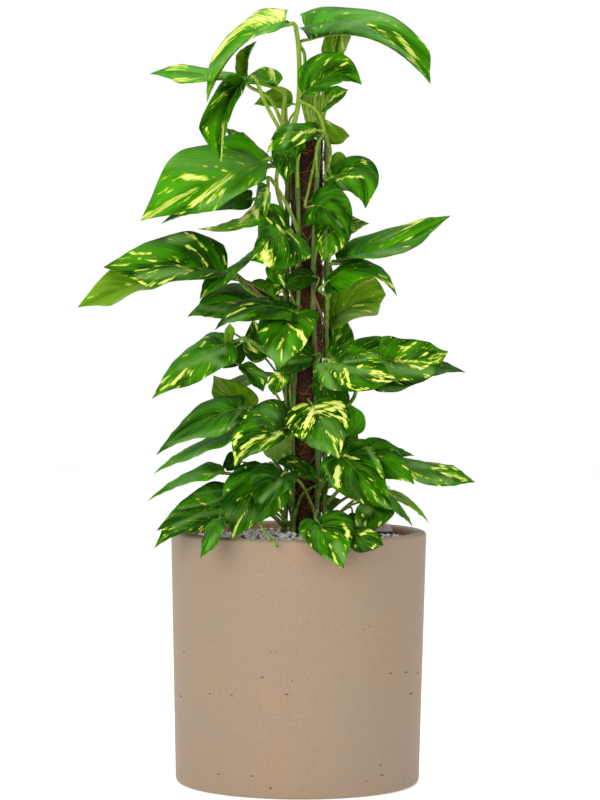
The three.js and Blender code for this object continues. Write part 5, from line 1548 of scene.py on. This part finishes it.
class PothosGranulate(bpy.types.Operator):
    """Makes the granulate: thousands of small mineral pebbles over a dark bed"""

    bl_idname = "pothos.granulate"
    bl_label = "Granulate"

    def execute(self, context):
        sizes = context.scene.pothos_sizes
        deselect()
        bpy.ops.mesh.primitive_ico_sphere_add(subdivisions=1, radius=1)
        seed_stone = context.object
        shape = np.array([v.co[:] for v in seed_stone.data.vertices])
        faces = np.array([p.vertices[:] for p in seed_stone.data.polygons])
        bpy.data.objects.remove(seed_stone)
        rng = np.random.default_rng(11)
        bundle = Bundle()
        mean = sizes.pebble_size / MM / 2
        for _ in range(sizes.pebbles):
            stone, centre, size = pebble(rng, shape, mean)
            if math.hypot(centre[0] - POLE["x"], centre[1]) < POLE["outer"] + size:
                continue
            bundle.add(stone + centre, [faces], shade=rng.uniform(0, 1))
        self.bed(bundle)
        skin = pebble_material()
        stones = bundle.piece("mineral_granulate", [skin], smooth=False)
        settle(stones, "granulate", "granulate")
        return {"FINISHED"}

    def bed(self, bundle):
        """The bed under the pebbles, down to the planter's floor."""
        rings, sides = BED["rings"], BED["sides"]
        outer = outer_radius(FILL["edge"]) - PLANTER["wall"] - 1
        low = PLANTER["floor"] + 1
        angles = np.arange(sides) * 2 * math.pi / sides
        around = np.stack([np.cos(angles), np.sin(angles)], -1)

        def ring(radius, height):
            return np.column_stack([around * radius, np.full(sides, height)])

        radii = [outer * (k + 1) / rings for k in range(rings)]
        levels = [ring(radius, fill_height(radius) - BED["below"]) for radius in radii]
        levels.append(ring(outer_radius(low) - PLANTER["wall"] - 1, low))
        middles = np.array([[0, 0, fill_height(0) - BED["below"]], [0, 0, low]])
        points = np.concatenate([*levels, middles])
        grid = np.arange((rings + 1) * sides).reshape(rings + 1, sides)
        after = np.roll(grid, -1, axis=1)
        quads = np.stack([grid[:-1], grid[1:], after[1:], after[:-1]], -1).reshape(-1, 4)
        cap = np.stack([grid[0], after[0], np.full(sides, len(points) - 2)], -1)
        base = np.stack([after[-1], grid[-1], np.full(sides, len(points) - 1)], -1)
        # Painted shade: the bed's dark brown shows in the gaps between the pebbles as their shade.
        bundle.add(points, [quads, cap, base], shade=BED["shade"])


class PothosPole(bpy.types.Operator):
    """Makes the coir pole: a wooden core in a felted sleeve of coconut fibre with loose strands"""

    bl_idname = "pothos.pole"
    bl_label = "Coir pole"

    def execute(self, context):
        sizes, colours = context.scene.pothos_sizes, context.scene.pothos_colours
        foot, top = POLE["foot"], POLE["top"]
        deselect()
        bpy.ops.mesh.primitive_cylinder_add(
            vertices=56, radius=POLE["outer"] * MM, depth=(top - foot) * MM, end_fill_type="NGON",
            location=(POLE["x"] * MM, 0, (top + foot) / 2 * MM),
        )
        sleeve = context.object
        bpy.ops.object.transform_apply(location=True, rotation=False, scale=False)
        select_faces(sleeve, lambda centre, normal: normal.z > 0.9)
        bpy.ops.mesh.inset(thickness=(POLE["outer"] - POLE["core"] - GAP) * MM)
        recess = (0, 0, -POLE["recess"] * MM)
        bpy.ops.mesh.extrude_region_move(TRANSFORM_OT_translate={"value": recess})
        bpy.ops.object.mode_set(mode="OBJECT")
        bevel = sleeve.modifiers.new("Soft top", "BEVEL")
        bevel.width, bevel.segments, bevel.limit_method = POLE["soft"] * MM, 3, "ANGLE"
        bpy.ops.object.modifier_apply(modifier=bevel.name)
        select_faces(sleeve, lambda centre, normal: abs(normal.z) < 0.3)
        bpy.ops.mesh.subdivide(number_cuts=14)
        bpy.ops.object.mode_set(mode="OBJECT")
        texture = bpy.data.textures.new("Coir lumps", "CLOUDS")
        texture.noise_scale = POLE["lump"] * MM
        lumps = sleeve.modifiers.new("Lumps", "DISPLACE")
        lumps.texture, lumps.strength, lumps.mid_level = texture, 4.0 * MM, 0.75
        bpy.ops.object.modifier_apply(modifier=lumps.name)
        bpy.ops.object.shade_smooth()
        sleeve.name = "coir_sleeve"
        felt = coir_material(colours)
        sleeve.data.materials.append(felt)
        settle(sleeve, "coir", "coir_wrap")
        self.fibres(sizes.fibres, felt)
        self.core()
        return {"FINISHED"}

    def fibres(self, count, felt):
        """Loose strands that lie round and along the sleeve."""
        rng = np.random.default_rng(5)
        bundle = Bundle()
        t = np.linspace(-0.5, 0.5, STRAND["points"])
        for _ in range(count):
            z = rng.uniform(STRAND["foot"], POLE["top"] - 6)
            angle = rng.uniform(0, 2 * math.pi)
            lean = rng.uniform(*STRAND["lean"])
            length = rng.uniform(*STRAND["length"])
            rise = rng.uniform(*STRAND["lift"]) * (2 * np.abs(t)) ** 2
            r = POLE["outer"] + rise * (rng.uniform() > STRAND["flat_share"])
            turn = angle + length * t * math.cos(lean) / POLE["outer"]
            height = z + length * t * math.sin(lean) + 1.5 * np.sin(7 * t + angle)
            height = np.clip(height, STRAND["lowest"], POLE["top"] + 1)
            path = np.stack([POLE["x"] + r * np.cos(turn), r * np.sin(turn), height], -1)
            strand = tube(path, rng.uniform(*STRAND["radius"]), STRAND["sides"])
            bundle.add(*strand, shade=rng.uniform(0.1, 1))
        strands = bundle.piece("coir_strands", [felt])
        settle(strands, "coir")

    def core(self):
        """The sawn wooden core, seen only at the pole's top."""
        made, tree, shader = new_material("sawn_softwood")
        grain = noise(tree, stretched(tree, 3.333, 83.33), 1.0, 3.0)
        colour = blend(tree, grain, linear("#6f4f30"), linear("#a98a5e"))
        finish(tree, shader, colour, 0.75, grain)
        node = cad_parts["pole_core"]
        node.data.materials.clear()
        node.data.materials.append(made)


def add_bare_stalks(bundle, name, stalk, root):
    """Adds a vine's dry brown stalks and its green ones that carry no leaf."""
    for vine, radius, path in DRY_STALKS:
        if vine == name:
            bundle.add(*tube(curve_through([placed(p) for p in path], 16), radius, 6), root)
    for vine, radius, light, path in GREEN_STALKS:
        if vine == name:
            way = curve_through([placed(p) for p in path], 24)
            bundle.add(*tube(way, radius, 8), stalk, light=light)


def add_sheaths(bundle, stalk):
    """Adds the pale sheaths at the top of the plant, as upright folds side by side."""
    t = np.linspace(0, 1, SHEATH["points"])
    radii = SHEATH["radius"] + SHEATH["grows"] * t - SHEATH["radius"] * t**6
    light, lighter = SHEATH["light"]
    for i in range(SHEATH["folds"]):
        share = i / (SHEATH["folds"] - 1)
        low, high = ([a + share * (b - a), z] for a, b, z in (SHEATH["low"], SHEATH["high"]))
        depth = SHEATH["depth"] - SHEATH["bulge"] * math.cos(math.pi * (share - 0.5) * 0.9)
        middle = [(low[0] + high[0]) / 2 + 2 * (share - 0.5), (low[1] + high[1]) / 2]
        path = [placed([*point, depth]) for point in (low, middle, high)]
        fold = tube(curve_through(path, SHEATH["points"]), radii, SHEATH["sides"])
        bundle.add(*fold, stalk, light=light + lighter * (i % 2))


class PothosVines(bpy.types.Operator):
    """Makes the six climbing vines with their aerial roots, leaf stalks and variegated leaves"""

    bl_idname = "pothos.vines"
    bl_label = "Vines"

    def execute(self, context):
        sizes, colours = context.scene.pothos_sizes, context.scene.pothos_colours
        materials = [
            leaf_upper_material(colours), leaf_under_material(colours), stalk_material(colours),
            stem_material(colours), root_material(),
        ]
        upper, under, stalk, stem, root = range(5)
        rng = np.random.default_rng(3)
        rows = [(number, row, 1) for number, row in enumerate(LEAVES)]
        rows += [(1000 + number, far_row(*row), -1) for number, row in enumerate(FAR_LEAVES)]
        for name in VINES:
            bundle = Bundle()
            add_stem(bundle, name, rng, stem, root)
            add_bare_stalks(bundle, name, stalk, root)
            if name == "front_left":
                add_sheaths(bundle, stalk)
            for number, row, turn in rows:
                if row[0] != name:
                    continue
                leaf = Leaf(row, turn)
                faces = (under, upper) if number in TURNED_OVER else (upper, under)
                faces = (upper, upper) if number in ROLLED else faces
                add_blade(bundle, leaf, number, sizes, *faces)
                add_stalk(bundle, number, row, leaf, stalk)
            vine = bundle.piece("pothos_vine_" + name, materials)
            settle(vine, "leaf", "vine_" + name)
        return {"FINISHED"}


class PothosGauge(bpy.types.Operator):
    """Makes the water gauge: dark collar, clear skirt and tube, red float rod and pale cap"""

    bl_idname = "pothos.gauge"
    bl_label = "Water gauge"

    def execute(self, context):
        tube_r, bore, collar, rod = GAUGE["tube"], GAUGE["bore"], GAUGE["collar"], GAUGE["rod"]
        top, cap = GAUGE["top"], GAUGE["cap"]
        bed = FILL["edge"] + 4
        skirt = bed + 4 + GAP
        low = PLANTER["floor"] + 10
        dark = plain_plastic("moulded_dark_plastic", "#2b2a2e", 0.4)
        self.turned("gauge_collar_ring", dark, "gauge_dark", "gauge_collar", [
            (tube_r + GAP, bed), (collar, bed), (collar, bed + 3), (collar - 1, bed + 4),
            (tube_r + GAP, bed + 4), (tube_r + GAP, bed),
        ])
        clear = plain_plastic("clear_acrylic", "#f2eff8", 0.12, Alpha=0.3)
        self.turned("gauge_clear_tube", clear, "gauge_clear", "gauge_sleeve", [
            (bore, low), (tube_r, low), (tube_r, skirt), (collar, skirt), (collar - 1.2, skirt + 3),
            (collar - 3.8, skirt + 6.5), (tube_r + 0.7, skirt + 9), (tube_r, skirt + 11),
            (tube_r, top), (bore, top), (bore, low),
        ])
        marker = skirt + 5
        red = plain_plastic("moulded_red_plastic", "#9c2a22", 0.35)
        self.turned("gauge_float_rod", red, "gauge_marker", "gauge_rod", [
            (0, low + 2), (rod, low + 2), (rod, marker), (rod + 1.2, marker + 1),
            (rod + 1.2, marker + 5), (rod + 0.6, marker + 6), (0, marker + 6),
        ])
        pale = plain_plastic("moulded_pale_plastic", "#d9d5de", 0.4)
        self.turned("gauge_pale_cap", pale, "gauge_dark", "gauge_cap", [
            (0, top + GAP), (cap - 0.6, top + GAP), (cap, top + GAP + 0.8), (cap, top + 6.4),
            (cap - 1.6, top + 8), (0, top + 8),
        ])
        return {"FINISHED"}

    def turned(self, name, material, slot, node, profile):
        """Spins a profile of (radius, height) about the gauge's axis."""
        x, y = GAUGE["x"], GAUGE["y"]
        deselect()
        mesh = bpy.data.meshes.new(name)
        points = [((x + r) * MM, y * MM, z * MM) for r, z in profile]
        mesh.from_pydata(points, [(i, i + 1) for i in range(len(points) - 1)], [])
        piece = bpy.data.objects.new(name, mesh)
        bpy.context.collection.objects.link(piece)
        bpy.context.view_layer.objects.active = piece
        piece.select_set(True)
        bpy.ops.object.mode_set(mode="EDIT")
        bpy.ops.mesh.select_all(action="SELECT")
        bpy.ops.mesh.spin(
            steps=40, angle=2 * math.pi, center=(x * MM, y * MM, 0), axis=(0, 0, 1)
        )
        bpy.ops.mesh.select_all(action="SELECT")
        bpy.ops.mesh.remove_doubles(threshold=0.00001)
        bpy.ops.mesh.normals_make_consistent(inside=False)
        bpy.ops.object.mode_set(mode="OBJECT")
        bpy.ops.object.shade_smooth_by_angle(angle=math.radians(40))
        mesh.materials.append(material)
        settle(piece, slot, node)


class PothosStage(bpy.types.Operator):
    """Sets the pale floor, the soft studio light and the camera at the photograph's angle"""

    bl_idname = "pothos.stage"
    bl_label = "Stage"

    def execute(self, context):
        self.floor(context)
        self.backdrop(context.scene)
        for name, place, size, power in SOFTBOXES:
            self.softbox(context, name, place, size, power)
        context.scene.view_settings.view_transform = "Standard"
        context.scene.view_settings.look = "None"
        self.camera(context)
        return {"FINISHED"}

    def floor(self, context):
        """A matt white floor that glows a little, as a lit backdrop does."""
        deselect()
        bpy.ops.mesh.primitive_plane_add(size=FLOOR["size"], location=(0, 0, 0))
        floor = context.object
        floor.name = "studio_floor"
        made, tree, shader = new_material(
            "matt_white_floor", Emission_Color=(1, 1, 1, 1), Emission_Strength=FLOOR["glow"]
        )
        finish(tree, shader, linear("#fafafa"), 0.9)
        floor.data.materials.append(made)

    def backdrop(self, scene):
        """A white backdrop, seen in full but lighting the plant only with its ambient share."""
        world = bpy.data.worlds.new("Studio")
        world.use_nodes = True
        tree = world.node_tree
        tree.nodes.clear()
        seen = add_node(tree, "ShaderNodeLightPath").outputs["Is Camera Ray"]
        power = sums(tree, "MULTIPLY_ADD", seen, 1 - AMBIENT, AMBIENT)
        white = add_node(tree, "ShaderNodeBackground", {0: (1, 1, 1, 1), 1: power})
        add_node(tree, "ShaderNodeOutputWorld", {"Surface": white.outputs[0]})
        scene.world = world

    def softbox(self, context, name, place, size, power):
        """A square soft light that looks at the plant."""
        bpy.ops.object.light_add(type="AREA", location=place)
        lamp = context.object
        lamp.name = name
        lamp.data.shape, lamp.data.size, lamp.data.energy = "SQUARE", size, power
        aim = Vector(LIGHT_AIM) - Vector(place)
        lamp.rotation_euler = aim.to_track_quat("-Z", "Y").to_euler()

    def camera(self, context):
        """The camera, where and as the photograph was taken."""
        camera = bpy.data.cameras.new("Photo camera")
        camera.lens = CAMERA["lens"]
        camera.clip_end = CAMERA["far"]
        eye = bpy.data.objects.new("Photo camera", camera)
        context.collection.objects.link(eye)
        level = Euler((math.radians(90 - CAMERA["tilt"]), 0, 0)).to_matrix()
        turn = level @ Matrix.Rotation(math.radians(CAMERA["roll"]), 3, "Z")
        eye.rotation_euler = turn.to_euler()
        eye.location = Vector(EYE) * MM
        context.scene.camera = eye


class PothosPanel(bpy.types.Panel):
    """Lists the plant's pieces in the 3D view's sidebar"""

    bl_idname = "VIEW3D_PT_pothos"
    bl_label = "Potted golden pothos"
    bl_space_type = "VIEW_3D"
    bl_region_type = "UI"
    bl_category = "Pothos"

    def draw(self, context):
        for group in (context.scene.pothos_sizes, context.scene.pothos_colours):
            for name in group.__annotations__:
                self.layout.prop(group, name)
        for piece in PIECES:
            self.layout.operator(piece.bl_idname)


PIECES = (PothosPlanter, PothosGranulate, PothosPole, PothosVines, PothosGauge, PothosStage)
CLASSES = (PothosSizes, PothosColours, *PIECES, PothosPanel)


def register():
    """Adds the classes and the scene's two groups of settings."""
    for item in CLASSES:
        bpy.utils.register_class(item)
    bpy.types.Scene.pothos_sizes = PointerProperty(type=PothosSizes)
    bpy.types.Scene.pothos_colours = PointerProperty(type=PothosColours)


def unregister():
    """Takes away what register added."""
    del bpy.types.Scene.pothos_colours
    del bpy.types.Scene.pothos_sizes
    for item in reversed(CLASSES):
        bpy.utils.unregister_class(item)


def main():
    """Builds all the pieces."""
    register()
    bpy.ops.pothos.planter()
    bpy.ops.pothos.granulate()
    bpy.ops.pothos.pole()
    bpy.ops.pothos.vines()
    bpy.ops.pothos.gauge()
    bpy.ops.pothos.stage()


if __name__ == "__main__":
    main()
